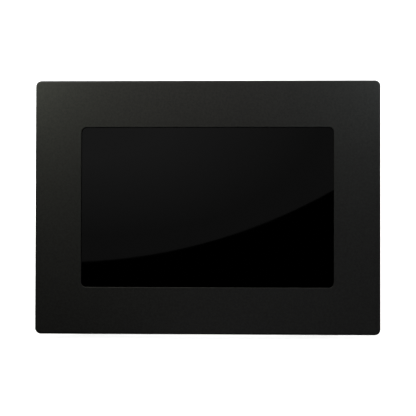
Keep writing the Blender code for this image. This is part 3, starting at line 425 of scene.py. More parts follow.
def add_node(tree, kind, settings, inputs):
    """Adds a node, sets its properties, and sets or links its inputs."""
    node = tree.nodes.new(f"ShaderNode{kind}")
    for key, value in settings.items():
        setattr(node, key, value)
    for key, value in inputs.items():
        if isinstance(value, bpy.types.NodeSocket):
            tree.links.new(value, node.inputs[key])
        else:
            node.inputs[key].default_value = value
    return node


def per(size):
    """The texture scale whose features measure a size in millimetres."""
    return 1000.0 / size


def new_finish(name, **inputs):
    """A material with its shader's steady values set, its tree, its shader and the place on the object."""
    material = bpy.data.materials.new(name)
    material.use_nodes = True
    tree = material.node_tree
    shader = tree.nodes["Principled BSDF"]
    for key, value in inputs.items():
        shader.inputs[key.replace("_", " ")].default_value = value
    place = add_node(tree, "TexCoord", {}, {}).outputs["Object"]
    return material, tree, shader, place


def spread(tree, value, low, high, start=0.3, end=0.7):
    """A texture's value, spread from low to high."""
    ends = {"From Min": start, "From Max": end, "To Min": low, "To Max": high}
    return add_node(tree, "MapRange", {}, {"Value": value, **ends}).outputs[0]


def blend(tree, factor, dark, light):
    """One of two colours, by a factor."""
    dark, light = (tint if isinstance(tint, bpy.types.NodeSocket) else (*tint, 1.0) for tint in (dark, light))
    return add_node(tree, "Mix", {"data_type": "RGBA"}, {0: factor, 6: dark, 7: light}).outputs[2]


def noise(tree, place, size, **shape):
    """Cloudy noise whose features measure a size in millimetres."""
    return add_node(tree, "TexNoise", {}, {"Vector": place, "Scale": per(size), **shape}).outputs["Fac"]


def bumps(tree, height, strength, depth):
    """Bumps of a depth in millimetres."""
    inputs = {"Strength": strength, "Distance": depth * MM, "Height": height}
    return add_node(tree, "Bump", {}, inputs).outputs[0]


def upright(tree, place):
    """The place on the object, turned so that a pattern lies in the plane of the leaning face."""
    return add_node(
        tree, "Mapping", {}, {"Vector": place, "Rotation": (LEAN + math.pi / 2, 0.0, 0.0)}
    ).outputs[0]


def feed(tree, shader, **sockets):
    """Links sockets to the shader's inputs."""
    for key, value in sockets.items():
        tree.links.new(value, shader.inputs[key.replace("_", " ")])


def powder_coat():
    """Polyester powder coat, sprayed and baked on steel: a fine sand texture with a soft broad sheen."""
    colours = bpy.context.scene.photoframe_colours
    coat, tree, shader, place = new_finish("powder_coat_fine_sand", IOR=1.5)
    # Real grains are about 0.2 mm. So that they show, the bumps are drawn 0.5 mm and the tone 1.4 mm wide.
    sand = noise(tree, place, 0.5, Detail=2.0, Roughness=0.6)
    grain = noise(tree, place, 1.4, Detail=3.0, Roughness=0.7)
    sweep = noise(tree, place, 35.0, Detail=1.0)
    shade = spread(tree, grain, 0.0, 1.0, 0.35, 0.65)
    feed(
        tree, shader,
        Base_Color=blend(tree, shade, colours.coat_dark, colours.coat_light),
        Roughness=spread(tree, sweep, 0.56, 0.62),
        Normal=bumps(tree, sand, 0.8, 0.06),
    )
    return coat


def moulded(name, tint, grain_size, rough, depth):
    """Plastic, rubber or ink: a slow change of tone as it flowed, and the grain of its tool."""
    material, tree, shader, place = new_finish(name, IOR=1.5)
    grain = noise(tree, place, grain_size, Detail=2.0)
    flow = noise(tree, place, 28.0, Detail=2.0)
    dark = [0.82 * c for c in tint]
    feed(
        tree, shader,
        Base_Color=blend(tree, spread(tree, flow, 0.0, 1.0), dark, tint),
        Roughness=spread(tree, grain, rough - 0.04, rough + 0.06),
        Normal=bumps(tree, grain, 0.4, depth),
    )
    return material


def cover_glass():
    """Float glass over a black screen: a deep black that mirrors what is in front of it, slightly waved."""
    glass, tree, shader, place = new_finish(
        "float_glass_black_backed", Base_Color=(*linear("#030304"), 1.0), IOR=1.5
    )
    feed(tree, shader, Roughness=spread(tree, noise(tree, place, 60.0, Detail=1.0), 0.015, 0.025))
    return glass


def metal(name, tint, rough, pattern, size):
    """Bare or plated metal: Voronoi spangle on galvanised sheet, noise on turned or stamped parts."""
    material, tree, shader, place = new_finish(name, Metallic=1.0)
    if pattern == "spangle":
        texture = add_node(tree, "TexVoronoi", {}, {"Vector": place, "Scale": per(size)}).outputs["Color"]
    else:
        texture = noise(tree, place, size)
    dark = [0.8 * c for c in tint]
    feed(
        tree, shader,
        Base_Color=blend(tree, spread(tree, texture, 0.0, 1.0), dark, tint),
        Roughness=spread(tree, texture, rough - 0.05, rough + 0.08),
    )
    return material


def circuit_board():
    """Green solder mask over etched copper: raised tracks show a lighter green under a satin lacquer."""
    board, tree, shader, place = new_finish("solder_mask_over_copper", Roughness=0.32)
    tracks = add_node(
        tree, "TexBrick", {"offset": 0.35, "squash": 0.6, "squash_frequency": 3},
        {"Vector": upright(tree, place), "Scale": per(10.0), "Mortar Size": 0.018, "Mortar Smooth": 0.3},
    ).outputs["Fac"]
    green = blend(tree, noise(tree, place, 15.0), linear("#0d3b22"), linear("#124a2b"))
    feed(
        tree, shader,
        Base_Color=blend(tree, tracks, green, linear("#2b7a4a")),
        Normal=bumps(tree, tracks, 0.5, 0.04),
    )
    return board


def striped_film():
    """Polyimide film over copper lines: amber with darker even stripes and a soft gloss."""
    film, tree, shader, place = new_finish("polyimide_flex", Roughness=0.3)
    inputs = {"Vector": place, "Scale": per(1.0) / math.tau}
    lines = add_node(tree, "TexWave", {"bands_direction": "X"}, inputs).outputs["Fac"]
    feed(tree, shader, Base_Color=blend(tree, lines, linear("#6e3a08"), linear("#c07a1c")))
    return film


def light_guide():
    """Moulded acrylic with printed dots that pull the light out: clear edges and a milky dotted face."""
    guide, tree, shader, place = new_finish("dotted_acrylic", Roughness=0.15, IOR=1.49)
    inputs = {"Vector": place, "Scale": per(1.2), "Randomness": 0.0}
    dots = add_node(tree, "TexVoronoi", {}, inputs).outputs["Distance"]
    factor = spread(tree, dots, 1.0, 0.0, 0.2, 0.35)
    feed(tree, shader, Base_Color=blend(tree, factor, linear("#bcc8ca"), linear("#f2f5f5")))
    return guide


def polarised_panel():
    """Polariser film on display glass: near black with a fine grid of cells."""
    panel, tree, shader, place = new_finish("polarised_display_glass", Roughness=0.25, IOR=1.5)
    # Real cells are 0.2 mm apart. They are drawn 1 mm apart so that they show.
    inputs = {"Vector": upright(tree, place), "Scale": per(2.0), "Mortar Size": 0.02}
    cells = add_node(tree, "TexBrick", {"offset": 0.0}, inputs).outputs["Fac"]
    feed(tree, shader, Base_Color=blend(tree, cells, linear("#07070a"), linear("#101014")))
    return panel


def foam_tape():
    """Closed-cell foam: a dull black with open pores, whose hollows are painted darker as painted shade."""
    foam, tree, shader, place = new_finish("closed_cell_foam", Roughness=0.95)
    pores_with_painted_shade = add_node(tree, "TexVoronoi", {}, {"Vector": place, "Scale": per(0.6)}).outputs["Distance"]
    # Where the pores sink in the bumps, their colour is painted darker: painted shade in the pores.
    feed(
        tree, shader,
        Base_Color=blend(tree, spread(tree, pores_with_painted_shade, 0.0, 1.0), linear("#0c0c0c"), linear("#2b2b2b")),
        Normal=bumps(tree, pores_with_painted_shade, 0.6, 0.1),
    )
    return foam


# The material's name, its colour or the setting that holds it, its grain's width in millimetres, its
# roughness and its bumps' depth in millimetres
MOULDED = {
    # ABS from an eroded tool: an even, dull black
    "moulding": ("abs_fine_erosion", "moulding", 0.7, 0.5, 0.03),
    # Silicone rubber: softer and duller than the cover round it
    "button": ("silicone_keypad", "#232325", 0.9, 0.62, 0.02),
    # Moulded rubber: the dullest of the blacks, with a coarse skin
    "rubber": ("moulded_rubber", "rubber", 1.1, 0.82, 0.05),
    # Pad printed ink: a thin pale film with a slight sheen
    "print": ("pad_print_ink", "print", 1.0, 0.5, 0.005),
    # Moulded nylon: black, smooth and a little glossier than the cover
    "socket": ("nylon_socket", "#141414", 0.8, 0.45, 0.01),
    # White polyester resin that holds the contacts: pale and smooth
    "tongue": ("white_contact_tongue", "#d9d9d4", 0.8, 0.45, 0.01),
    # Epoxy moulded round a chip: a fine, dry grey black
    "epoxy": ("moulded_epoxy", "#1c1c1e", 0.5, 0.55, 0.02),
    # Pressed paper: fibrous and dull
    "cone": ("pressed_paper_cone", "#161617", 0.8, 0.75, 0.04),
    # Extruded PVC: smooth, with a soft shine along the lead
    "pvc": ("pvc_lead", "#1d1d1d", 1.5, 0.45, 0.01),
}
# The material's name, its colour, its roughness, its pattern and the pattern's size in millimetres
METALS = {
    # Hot dip galvanised steel: patches of spangle that catch the light one by one
    "galvanised": ("galvanised_sheet", "#b9bdc0", 0.36, "spangle", 6.0),
    # Black passivated zinc plate: a dark, oily shine
    "zinc": ("zinc_plate_black_passivated", "#4a4b4d", 0.3, "satin", 1.5),
    # Nickel plate: bright and faintly warm
    "nickel": ("nickel_plate", "#c9c5bb", 0.22, "satin", 2.0),
    # A flash of gold plate: yellow contacts
    "gold": ("gold_flash", "#d8a748", 0.25, "satin", 1.0),
}
OTHERS = {
    "coat": powder_coat,
    "glass": cover_glass,
    "board": circuit_board,
    "film": striped_film,
    "guide": light_guide,
    "panel": polarised_panel,
    "foam": foam_tape,
}
MADE = {}


def finish(name):
    """A finish by name, made once."""
    if name in MADE:
        return MADE[name]
    if name in OTHERS:
        MADE[name] = OTHERS[name]()
    else:
        label, tint, *rest = (MOULDED | METALS)[name]
        tint = linear(tint) if tint[0] == "#" else getattr(bpy.context.scene.photoframe_colours, tint)
        MADE[name] = (moulded if name in MOULDED else metal)(label, tint, *rest)
    return MADE[name]


# Pieces


def tube(radius, hollow, near, far, centre):
    """A post with a hole in its far end. Both are given by their radius."""
    foot = near + 0.4
    section = ((0.0, near), (radius, near), (radius, far), (hollow, far), (hollow, foot), (0.0, foot))
    return spun(section, centre)


def middle_of(node):
    """The middle of a node as the eye behind or before the frame sees it."""
    low, high = own_box(node, LEANED)
    return (low.x + high.x) / 2, (low.z + high.z) / 2


def places_in_row(centre, count, pitch):
    """Evenly spaced places about a centre."""
    return [centre + (index - (count - 1) / 2) * pitch for index in range(count)]


def numbered(stem):
    """The nodes of one kind of screw."""
    return [f"{stem}_{number}" for number in range(1, SCREWS[stem][0] + 1)]


class PHOTOFRAME_OT_front_shell(bpy.types.Operator):
    """Pressed steel tray with its window and its screw posts"""

    bl_idname = "photoframe.front_shell"
    bl_label = "Front shell"

    def execute(self, context):
        sizes = millimetres(context.scene.photoframe_shell)
        low, high = own_box("front_shell", LEANED)
        width, depth, height = high.x - low.x, high.y, high.z
        glass_low, glass_high = own_box("cover_glass", LEANED)
        glass = glass_high - glass_low
        window = (glass.x - 2 * sizes.glass_lap, glass.z - 2 * sizes.glass_lap, sizes.window_corner)
        centre = (0.0, height / 2)
        bm = bmesh.new()
        face, back = (rim(bm, width, height, sizes.corner, y, centre) for y in (0.0, depth))
        inner = (width - 2 * sizes.wall, height - 2 * sizes.wall, sizes.corner - sizes.wall)
        inner_back, inner_face = (rim(bm, *inner, y, centre) for y in (depth, sizes.wall))
        window_back, window_face = (rim(bm, *window, y, centre) for y in (sizes.wall, 0.0))
        bridge(bm, face, back, inner_back, inner_face, window_back, window_face, face)
        soften(bm, face, sizes.edge, 5)
        soften(bm, window_face, sizes.window_edge, 3)
        soften(bm, back, 0.3)
        face_out(bm)
        posts = []
        for stem, seat in (("housing_screw", "rear_housing"), ("chassis_screw", "chassis_plate")):
            end = own_box(seat, LEANED)[0].y - 0.15
            for screw in numbered(stem):
                posts.append(tube(sizes.post, 1.6, sizes.wall - 0.2, end, middle_of(screw)))
        absorb(bm, posts)
        settle("coated_shell", bm, [finish("coat")], "frame", ["front_shell"])
        return {"FINISHED"}


class PHOTOFRAME_OT_cover_glass(bpy.types.Operator):
    """Black-backed glass with ground edges"""

    bl_idname = "photoframe.cover_glass"
    bl_label = "Cover glass"

    def execute(self, context):
        low, high = own_box("cover_glass", LEANED)
        centre = (0.0, (low.z + high.z) / 2)
        bm = group(slab(high.x - low.x, high.z - low.z, 3.0, low.y, high.y, centre, edge=0.2))
        settle("window_glass", bm, [finish("glass")], "frame", ["cover_glass"])
        return {"FINISHED"}


class PHOTOFRAME_OT_screen(bpy.types.Operator):
    """Finishes of the display module, its tape and its gasket"""

    bl_idname = "photoframe.screen"
    bl_label = "Screen"

    def execute(self, context):
        dress(finish("foam"), "glass_tape", "lcd_gasket")
        dress(finish("panel"), "lcd_cell")
        dress(finish("guide"), "light_guide")
        dress(finish("galvanised"), "backlight_tray", "chassis_plate")
        dress(finish("film"), "lcd_flex", "key_ribbon")
        return {"FINISHED"}


class PHOTOFRAME_OT_boards(bpy.types.Operator):
    """Finishes of the boards, the chips, the cell and the speakers"""

    bl_idname = "photoframe.boards"
    bl_label = "Boards and speakers"

    def execute(self, context):
        dress(finish("board"), "main_board", "key_board")
        switches = [f"key_switch_{number}" for number in range(1, len(BUTTONS) + 1)]
        dress(finish("epoxy"), "processor", *switches)
        dress(finish("nickel"), "coin_cell")
        dress(finish("socket"), "coin_cell_holder")
        dress(finish("cone"), "speaker_left", "speaker_right")
        dress(finish("pvc"), "speaker_lead_left", "speaker_lead_right")
        return {"FINISHED"}


def socket_axes(node):
    """Axes from a socket's mouth, with y into the case and z up, and its width, depth and height there."""
    low, high = own_box(node, LEANED)
    middle = Vector((low.x, (low.y + high.y) / 2, (low.z + high.z) / 2))
    size = high - low
    return LEANED @ Matrix.Translation(middle * MM) @ SIDEWAYS, (size.y, size.x, size.z)


class PHOTOFRAME_OT_sockets(bpy.types.Operator):
    """Power, sound, stick and card sockets on the main board's edge"""

    bl_idname = "photoframe.sockets"
    bl_label = "Sockets"

    def execute(self, context):
        lining = ((2.2, 0.3), (2.75, 0.3), (2.75, 9.5), (2.2, 9.5))
        pin = ((0.0, 1.5), (0.5, 1.5), (0.8, 1.9), (0.8, 10.2), (0.0, 10.2))
        collar = ((1.75, 0.0), (2.6, 0.0), (2.6, 0.4), (1.75, 1.0))
        self.round_socket("power_socket", "dc_jack", 2.8, 10.0, [spun(lining, ring=True), spun(pin)])
        self.round_socket("sound_socket", "audio_jack", 1.8, 11.0, [spun(collar, ring=True)])
        self.stick()
        self.card()
        return {"FINISHED"}

    def round_socket(self, name, node, radius, depth, metal_parts):
        """A moulded block with a round hole and the metal parts in it."""
        axes, (wide, deep, tall) = socket_axes(node)
        bm = group(slab(wide, tall, 0.5, 0.0, deep, steps=2, edge=0.2))
        hole = ((0.0, -1.0), (radius, -1.0), (radius, depth), (0.0, depth))
        carve(bm, "DIFFERENCE", spun(hole))
        absorb(bm, metal_parts, 1)
        settle(name, bm, [finish("socket"), finish("nickel")], "frame", [node], axes)

    def stick(self):
        """A metal box with a tongue and four contacts."""
        axes, (wide, deep, tall) = socket_axes("usb_port")
        bm = self.metal_box(wide, deep, tall, 0.5)
        tongue = slab(1.9, tall - 2.2, 0.2, 1.5, deep - 0.9, (0.6, 0.0), steps=2, edge=0.15)
        contacts = [slab(0.15, 1.1, 0.05, 2.2, deep - 2, (1.6, z), steps=1) for z in (-3.5, -1.0, 1.0, 3.5)]
        absorb(bm, [tongue], 1)
        absorb(bm, contacts, 2)
        finishes = [finish("nickel"), finish("tongue"), finish("gold")]
        settle("stick_socket", bm, finishes, "frame", ["usb_port"], axes)

    def card(self):
        """A low metal box with nine contacts."""
        axes, (wide, deep, tall) = socket_axes("card_slot")
        bm = self.metal_box(wide, deep, tall, 0.6)
        base = slab(0.5, tall - 2.4, 0.1, 0.8, deep - 1, (0.7, 0.0), steps=1)
        rows = places_in_row(0.0, 9, 2.5)
        contacts = [slab(0.2, 1.0, 0.05, 6.0, deep - 2, (0.4, z), steps=1) for z in rows]
        absorb(bm, [base], 1)
        absorb(bm, contacts, 2)
        finishes = [finish("nickel"), finish("socket"), finish("gold")]
        settle("card_socket", bm, finishes, "frame", ["card_slot"], axes)

    def metal_box(self, wide, deep, tall, wall):
        """A folded metal shell, open at its mouth."""
        bm = bmesh.new()
        outer = [rim(bm, wide, tall, 0.6, depth, steps=3) for depth in (deep, 0.0)]
        room = (wide - 2 * wall, tall - 2 * wall, 0.2)
        inner = [rim(bm, *room, depth, steps=3) for depth in (0.0, deep - wall)]
        bridge(bm, *outer, *inner)
        cap(bm, outer[0], inner[1])
        soften(bm, outer[1] + inner[0], 0.12)
        face_out(bm)
        return bm


def keyhole(x, z, near, face, soft):
    """A round hole for a screw's head with a slot above it for its shank."""
    head, width, reach = 4.25, 4.2, 11.1
    slot = mouth(width, reach, width / 2 - 0.01, near, face, soft, (x, z + reach / 2), 6)
    return carve(group(slot), "UNION", bore(head, near, face, soft, (x, z)))


class PHOTOFRAME_OT_back_cover(bpy.types.Operator):
    """Moulded cover with its flange, leg pocket, vents, grilles, keyholes and holes"""

    bl_idname = "photoframe.back_cover"
    bl_label = "Back cover"

    def execute(self, context):
        sizes = millimetres(context.scene.photoframe_cover)
        low, high = own_box("rear_housing", LEANED)
        shell = own_box("front_shell", LEANED)[1]
        self.sizes, self.middle = sizes, shell.z / 2
        self.width = 2 * (shell.x - sizes.inset)
        self.height = shell.z - 2 * sizes.inset
        self.back = high.y - PAD_RISE
        self.grilles = [middle_of("speaker_left"), middle_of("speaker_right")]
        bm = self.body(low, high)
        self.add_pocket(bm)
        self.add_pads(bm)
        self.cut_openings(bm)
        face_out(bm)
        self.add_hidden_posts(bm)
        settle("moulded_cover", bm, [finish("moulding")], "frame", ["rear_housing"])
        return {"FINISHED"}

    def body(self, low, high):
        """The cover's box, open to the front, with its flange."""
        sizes, centre = self.sizes, (0.0, self.middle)
        bm = bmesh.new()
        box = (self.width, self.height, sizes.corner)
        room = (self.width - 2 * sizes.wall, self.height - 2 * sizes.wall, sizes.corner - sizes.wall)
        flange = (high.x - low.x, high.z - low.z, 2.2)
        step = low.y + sizes.flange
        back = rim(bm, *box, self.back, centre)
        root = rim(bm, *box, step, centre)
        flange_rims = [rim(bm, *flange, y, centre) for y in (step, low.y)]
        room_rims = [rim(bm, *room, y, centre) for y in (low.y, self.back - sizes.wall)]
        bridge(bm, back, root, *flange_rims, *room_rims)
        cap(bm, back, room_rims[1])
        soften(bm, back, sizes.edge, 6)
        face_out(bm)
        return bm

    def pocket(self, grow, top, near, far):
        """The leg's pocket, which narrows downwards."""
        leg_side = own_box("stand_leg", LEG_AXES)[1].x
        tip_low, tip_high = own_box("stand_tip", LEG_AXES)
        clearance = 0.45
        side = own_box("stand_washer_right", LEANED)[1].x - leg_side + clearance + grow
        wide, narrow, kink = leg_side + side, tip_high.x - TIP_LAP + side, HINGE.z - LEG_KINK
        bottom = self.sizes.inset + 1 if grow else self.sizes.inset - 5
        at_bottom = wide + (wide - narrow) / (LEG_KINK + tip_low.z) * (kink - bottom)
        return wedge(2 * wide, 2 * at_bottom, top, kink, bottom, near, far)

    def add_pocket(self, bm):
        """The pocket's walls and its hollow, with a rounded rim."""
        sizes, back, floor = self.sizes, self.back, self.back - POCKET_DEPTH
        walls = self.pocket(sizes.wall, HINGE.z + 10.0, floor - 1.8, back - sizes.wall + 1)
        carve(bm, "UNION", walls)
        carve(bm, "DIFFERENCE", self.pocket(0.0, HINGE.z + 8.0, floor, back + 2))
        rim_of_pocket = lambda p: abs(p.y - back) < 0.01 and p.z > sizes.inset + 3
        soften(bm, sharp_edges(bm, 60, rim_of_pocket), sizes.soft)

    def add_pads(self, bm):
        """A low round pad and a boss behind it for each of the wall bracket's holes."""
        roof, half = self.back - self.sizes.wall, self.sizes.bracket_pitch / 2
        self.brackets = [(x, self.middle + z) for x in (-half, half) for z in (-half, half)]
        carve(bm, "UNION", *[drum(4.5, roof - 5, roof + 1, place) for place in self.brackets])
        bevel = 0.15
        top = self.back + PAD_RISE
        stations = ((roof + 0.9, 0.0), (top - bevel, 0.0), (top, -bevel))
        carve(bm, "UNION", *[stack(11.99, 11.99, 5.99, stations, place) for place in self.brackets])

    def cut_openings(self, bm):
        """Grilles, vents, keyholes and the holes for buttons, screws, sockets and the hinge's pin."""
        sizes, back = self.sizes, self.back
        near, soft = back - sizes.wall - 1, sizes.soft
        end = 0.49 * sizes.slot
        slots = []
        for x, z in self.grilles:
            for rise in places_in_row(0.0, 7, 3.6):
                span = 2 * math.sqrt(sizes.grille**2 - rise**2)
                slots.append(mouth(span, sizes.slot, end, near, back, soft, (x, z + rise), 4))
        board_low, board_high = own_box("main_board", LEANED)
        board_x, top = (board_low.x + board_high.x) / 2, self.middle + self.height / 2
        keyhole_z = own_box("front_shell", LEANED)[1].z - sizes.keyhole_drop
        for x0, z in ((board_x, (board_high.z + top) / 2), (-board_x, keyhole_z - sizes.vent_drop)):
            for x in places_in_row(x0, 13, 5.0):
                slots.append(mouth(sizes.slot, 9.0, end, near, back, soft, (x, z), 4))
        carve(bm, "DIFFERENCE", *slots)
        out = sizes.keyhole_spacing / 2
        button, bracket, screw = 3.9, 1.7, 1.75
        holes = [keyhole(x, keyhole_z, near, back, soft) for x in (-out, out)]
        holes += [bore(button, near, back, soft, middle_of(f"button_{name}")) for name in BUTTONS]
        holes += [bore(bracket, near - 3, back + PAD_RISE, soft, place) for place in self.brackets]
        step = own_box("rear_housing", LEANED)[0].y
        for node in numbered("housing_screw"):
            holes.append(drum(screw, step - 1, step + 3, middle_of(node), 24))
        carve(bm, "DIFFERENCE", *holes)
        carve(bm, "DIFFERENCE", *self.side_holes())

    def side_holes(self):
        """Holes for the hinge's pin and for the sockets' mouths."""
        reach = own_box("stand_pin", LEANED)[1].x + 2
        holes = [moved(drum(1.65, -reach, reach, steps=24), Matrix.Translation(HINGE) @ SIDEWAYS)]
        soft, inside, gap = self.sizes.soft, -self.sizes.wall - 1, 0.6
        for node, radius in SOCKET_HOLES.items():
            low, high = own_box(node, LEANED)
            if radius:
                hole = bore(radius, inside, 0.0, soft)
            else:
                hole = mouth(high.y - low.y + gap, high.z - low.z + gap, 1.0, inside, 0.0, soft, steps=4)
            start = Vector((-self.width / 2, (low.y + high.y) / 2, (low.z + high.z) / 2))
            holes.append(moved(hole, Matrix.Translation(start) @ SIDEWAYS.inverted()))
        return holes

    def add_hidden_posts(self, bm):
        """Collars round the speakers and posts for the key board, on the inner side of the back."""
        roof = self.back - self.sizes.wall
        face = own_box("speaker_left", LEANED)[1].y
        parts = []
        board_back = own_box("key_board", LEANED)[1].y + 0.15
        collars = [(15.3, 16.8, face - 1.6, centre, 48) for centre in self.grilles]
        posts = [(1.0, 2.2, board_back, middle_of(screw), 32) for screw in numbered("key_board_screw")]
        for inner, outer, near, centre, steps in collars + posts:
            section = ((inner, near), (outer, near), (outer, roof + 0.5), (inner, roof + 0.5))
            parts.append(spun(section, centre, steps, ring=True))
        absorb(bm, parts)


class PHOTOFRAME_OT_buttons(bpy.types.Operator):
    """Five rubber caps with their printed symbols"""

    bl_idname = "photoframe.buttons"
    bl_label = "Buttons"

    def execute(self, context):
        for name in BUTTONS:
            self.cap(name)
        return {"FINISHED"}

    def cap(self, name):
        """A round cap on its flange and stem, which ride on the button's body."""
        low, high = own_box(f"button_{name}", LEANED)
        front, lip = high.y, high.y - 3.3
        radius, flange, stem, round_over = 3.6, 4.8, 1.5, 0.7
        section = [(0.0, front - 0.12), (2.4, front - 0.12), (2.9, front - 0.05)]
        for turn in (0.5, 0.9, 1.3):
            inwards, down = round_over * (1 - math.sin(turn)), round_over * (1 - math.cos(turn))
            section.append((radius - inwards, front - down))
        section += [(radius, front - 0.8), (radius, lip), (flange, lip), (flange, lip - 1.0)]
        section += [(stem, lip - 1.0), (stem, low.y), (0.0, low.y)]
        x, z = middle_of(f"button_{name}")
        bm = group(spun(section, (x, z), 48))
        place = Matrix.Translation((x, front - 0.14, z))
        absorb(bm, [moved(part, place) for part in self.symbol(name)], 1)
        finishes = [finish("button"), finish("print")]
        settle(f"{name}_cap", bm, finishes, f"{name}_button", [f"button_{name}"])

    def symbol(self, name):
        """A plain symbol in the plane of the cap. The eye behind the frame sees x run to the left."""
        far = 0.08

        def bar(width, height, x=0.0, z=0.0):
            return slab(width, height, 0.1, 0.0, far, (x, z), steps=2)

        def arrow(x, side):
            part = drum(1.15, 0.0, far, steps=3)
            return moved(part, Matrix.Translation((x, 0, 0)) @ Matrix.Rotation(-side * math.pi / 2, 4, "Y"))

        if name == "power":
            ring = group(spun(((1.15, 0.0), (1.5, 0.0), (1.5, far), (1.15, far)), ring=True))
            carve(ring, "DIFFERENCE", slab(1.1, 2.0, 0.1, -1.0, 1.0, (0.0, 1.4), steps=1))
            return [ring, bar(0.32, 1.7, 0.0, 0.95)]
        if name == "menu":
            return [bar(2.6, 0.36, 0.0, z) for z in (-0.85, 0.0, 0.85)]
        if name == "play":
            return [arrow(0.1, -1)]
        side = 1 if name == "previous" else -1
        return [arrow(-0.35 * side, side), bar(0.34, 1.9, 1.15 * side)]


class PHOTOFRAME_OT_screws(bpy.types.Operator):
    """Pan head screws with a cross recess"""

    bl_idname = "photoframe.screws"
    bl_label = "Screws"

    def execute(self, context):
        for stem, (_, tall, shank) in SCREWS.items():
            nodes = numbered(stem)
            low, high = own_box(nodes[0], LEANED)
            blank = self.screw((high.x - low.x) / 2, tall, shank, high.y - low.y - tall)
            flipped = stem == "key_board_screw"
            turn = Matrix.Rotation(math.pi, 4, "X") if flipped else Matrix()
            for node in nodes:
                low, high = own_box(node, LEANED)
                x, z = middle_of(node)
                place = Matrix.Translation((x, low.y + tall if flipped else high.y - tall, z)) @ turn
                bm = moved(blank.copy(), place)
                settle(f"cross_{node}", bm, [finish("zinc")], "frame", [node])
            blank.free()
        return {"FINISHED"}

    def screw(self, head, tall, shank, length):
        """A screw whose head rests on depth 0, with its thread drawn as rings."""
        curve = ((0.0, 1.0), (0.5, 0.98), (0.8, 0.84), (0.95, 0.58), (1.0, 0.3), (1.0, 0.0), (0.0, 0.0))
        crown = [(head * out, tall * up) for out, up in curve]
        thread = [(0.0, 0.1), (shank, 0.1)]
        pitch = 0.7
        for turn in range(int(length / pitch) - 1):
            thread += [(0.78 * shank, -pitch * (turn + 0.7)), (shank, -pitch * (turn + 1.05))]
        thread += [(0.7 * shank, -length + 0.3), (0.3 * shank, -length), (0.0, -length)]
        arm, reach = 0.22 * head, 0.55 * head
        # The two slots differ a little in depth, because a Boolean is unsure of faces that coincide.
        cross = group(slab(2 * reach, arm, 0.05, 0.4 * tall, 2 * tall, steps=1))
        carve(cross, "UNION", slab(arm, 2 * reach, 0.05, 0.43 * tall, 2.1 * tall, steps=1))
        return absorb(carve(group(spun(crown)), "DIFFERENCE", cross), [spun(thread)])


def cut_at_floor(bm, axes):
    """Cuts a shape off flat where it stands on the table."""
    back = (axes @ Matrix.Scale(MM, 4)).inverted()
    point = back @ Vector((0, 0, 0))
    normal = (back.to_3x3() @ Vector((0, 0, -1))).normalized()
    geom = bm.verts[:] + bm.edges[:] + bm.faces[:]
    cut = bmesh.ops.bisect_plane(bm, geom=geom, plane_co=point, plane_no=normal, clear_outer=True)["geom_cut"]
    edges = [item for item in cut if isinstance(item, bmesh.types.BMEdge)]
    bmesh.ops.edgeloop_fill(bm, edges=edges)
    return bm


class PHOTOFRAME_OT_feet(bpy.types.Operator):
    """Two rubber feet, cut to stand flat on the table"""

    bl_idname = "photoframe.feet"
    bl_label = "Feet"

    def execute(self, context):
        top = context.scene.photoframe_cover.inset / MM - 0.15
        for side in ("left", "right"):
            low, high = own_box(f"rubber_foot_{side}", LEANED)
            place = Matrix.Translation(((low.x + high.x) / 2, (low.y + high.y) / 2, 0)) @ UPWARDS
            bm = moved(slab(high.x - low.x, high.y - low.y, 1.2, low.z - 4, top, steps=4), place)
            face_out(bm)
            cut_at_floor(bm, LEANED)
            soften(bm, sharp_edges(bm, 50, lambda p: p.z < top - 0.5), 0.35)
            face_out(bm)
            stem, barb, neck = 2.2, 3.1, high.z - 1.2
            section = [(0.0, top - 2), (stem, top - 2), (stem, neck)]
            section += [(barb, neck), (stem, high.z), (0.0, high.z)]
            absorb(bm, [moved(spun(section), place)])
            settle(f"foot_{side}", bm, [finish("rubber")], "frame", [f"rubber_foot_{side}"])
        return {"FINISHED"}


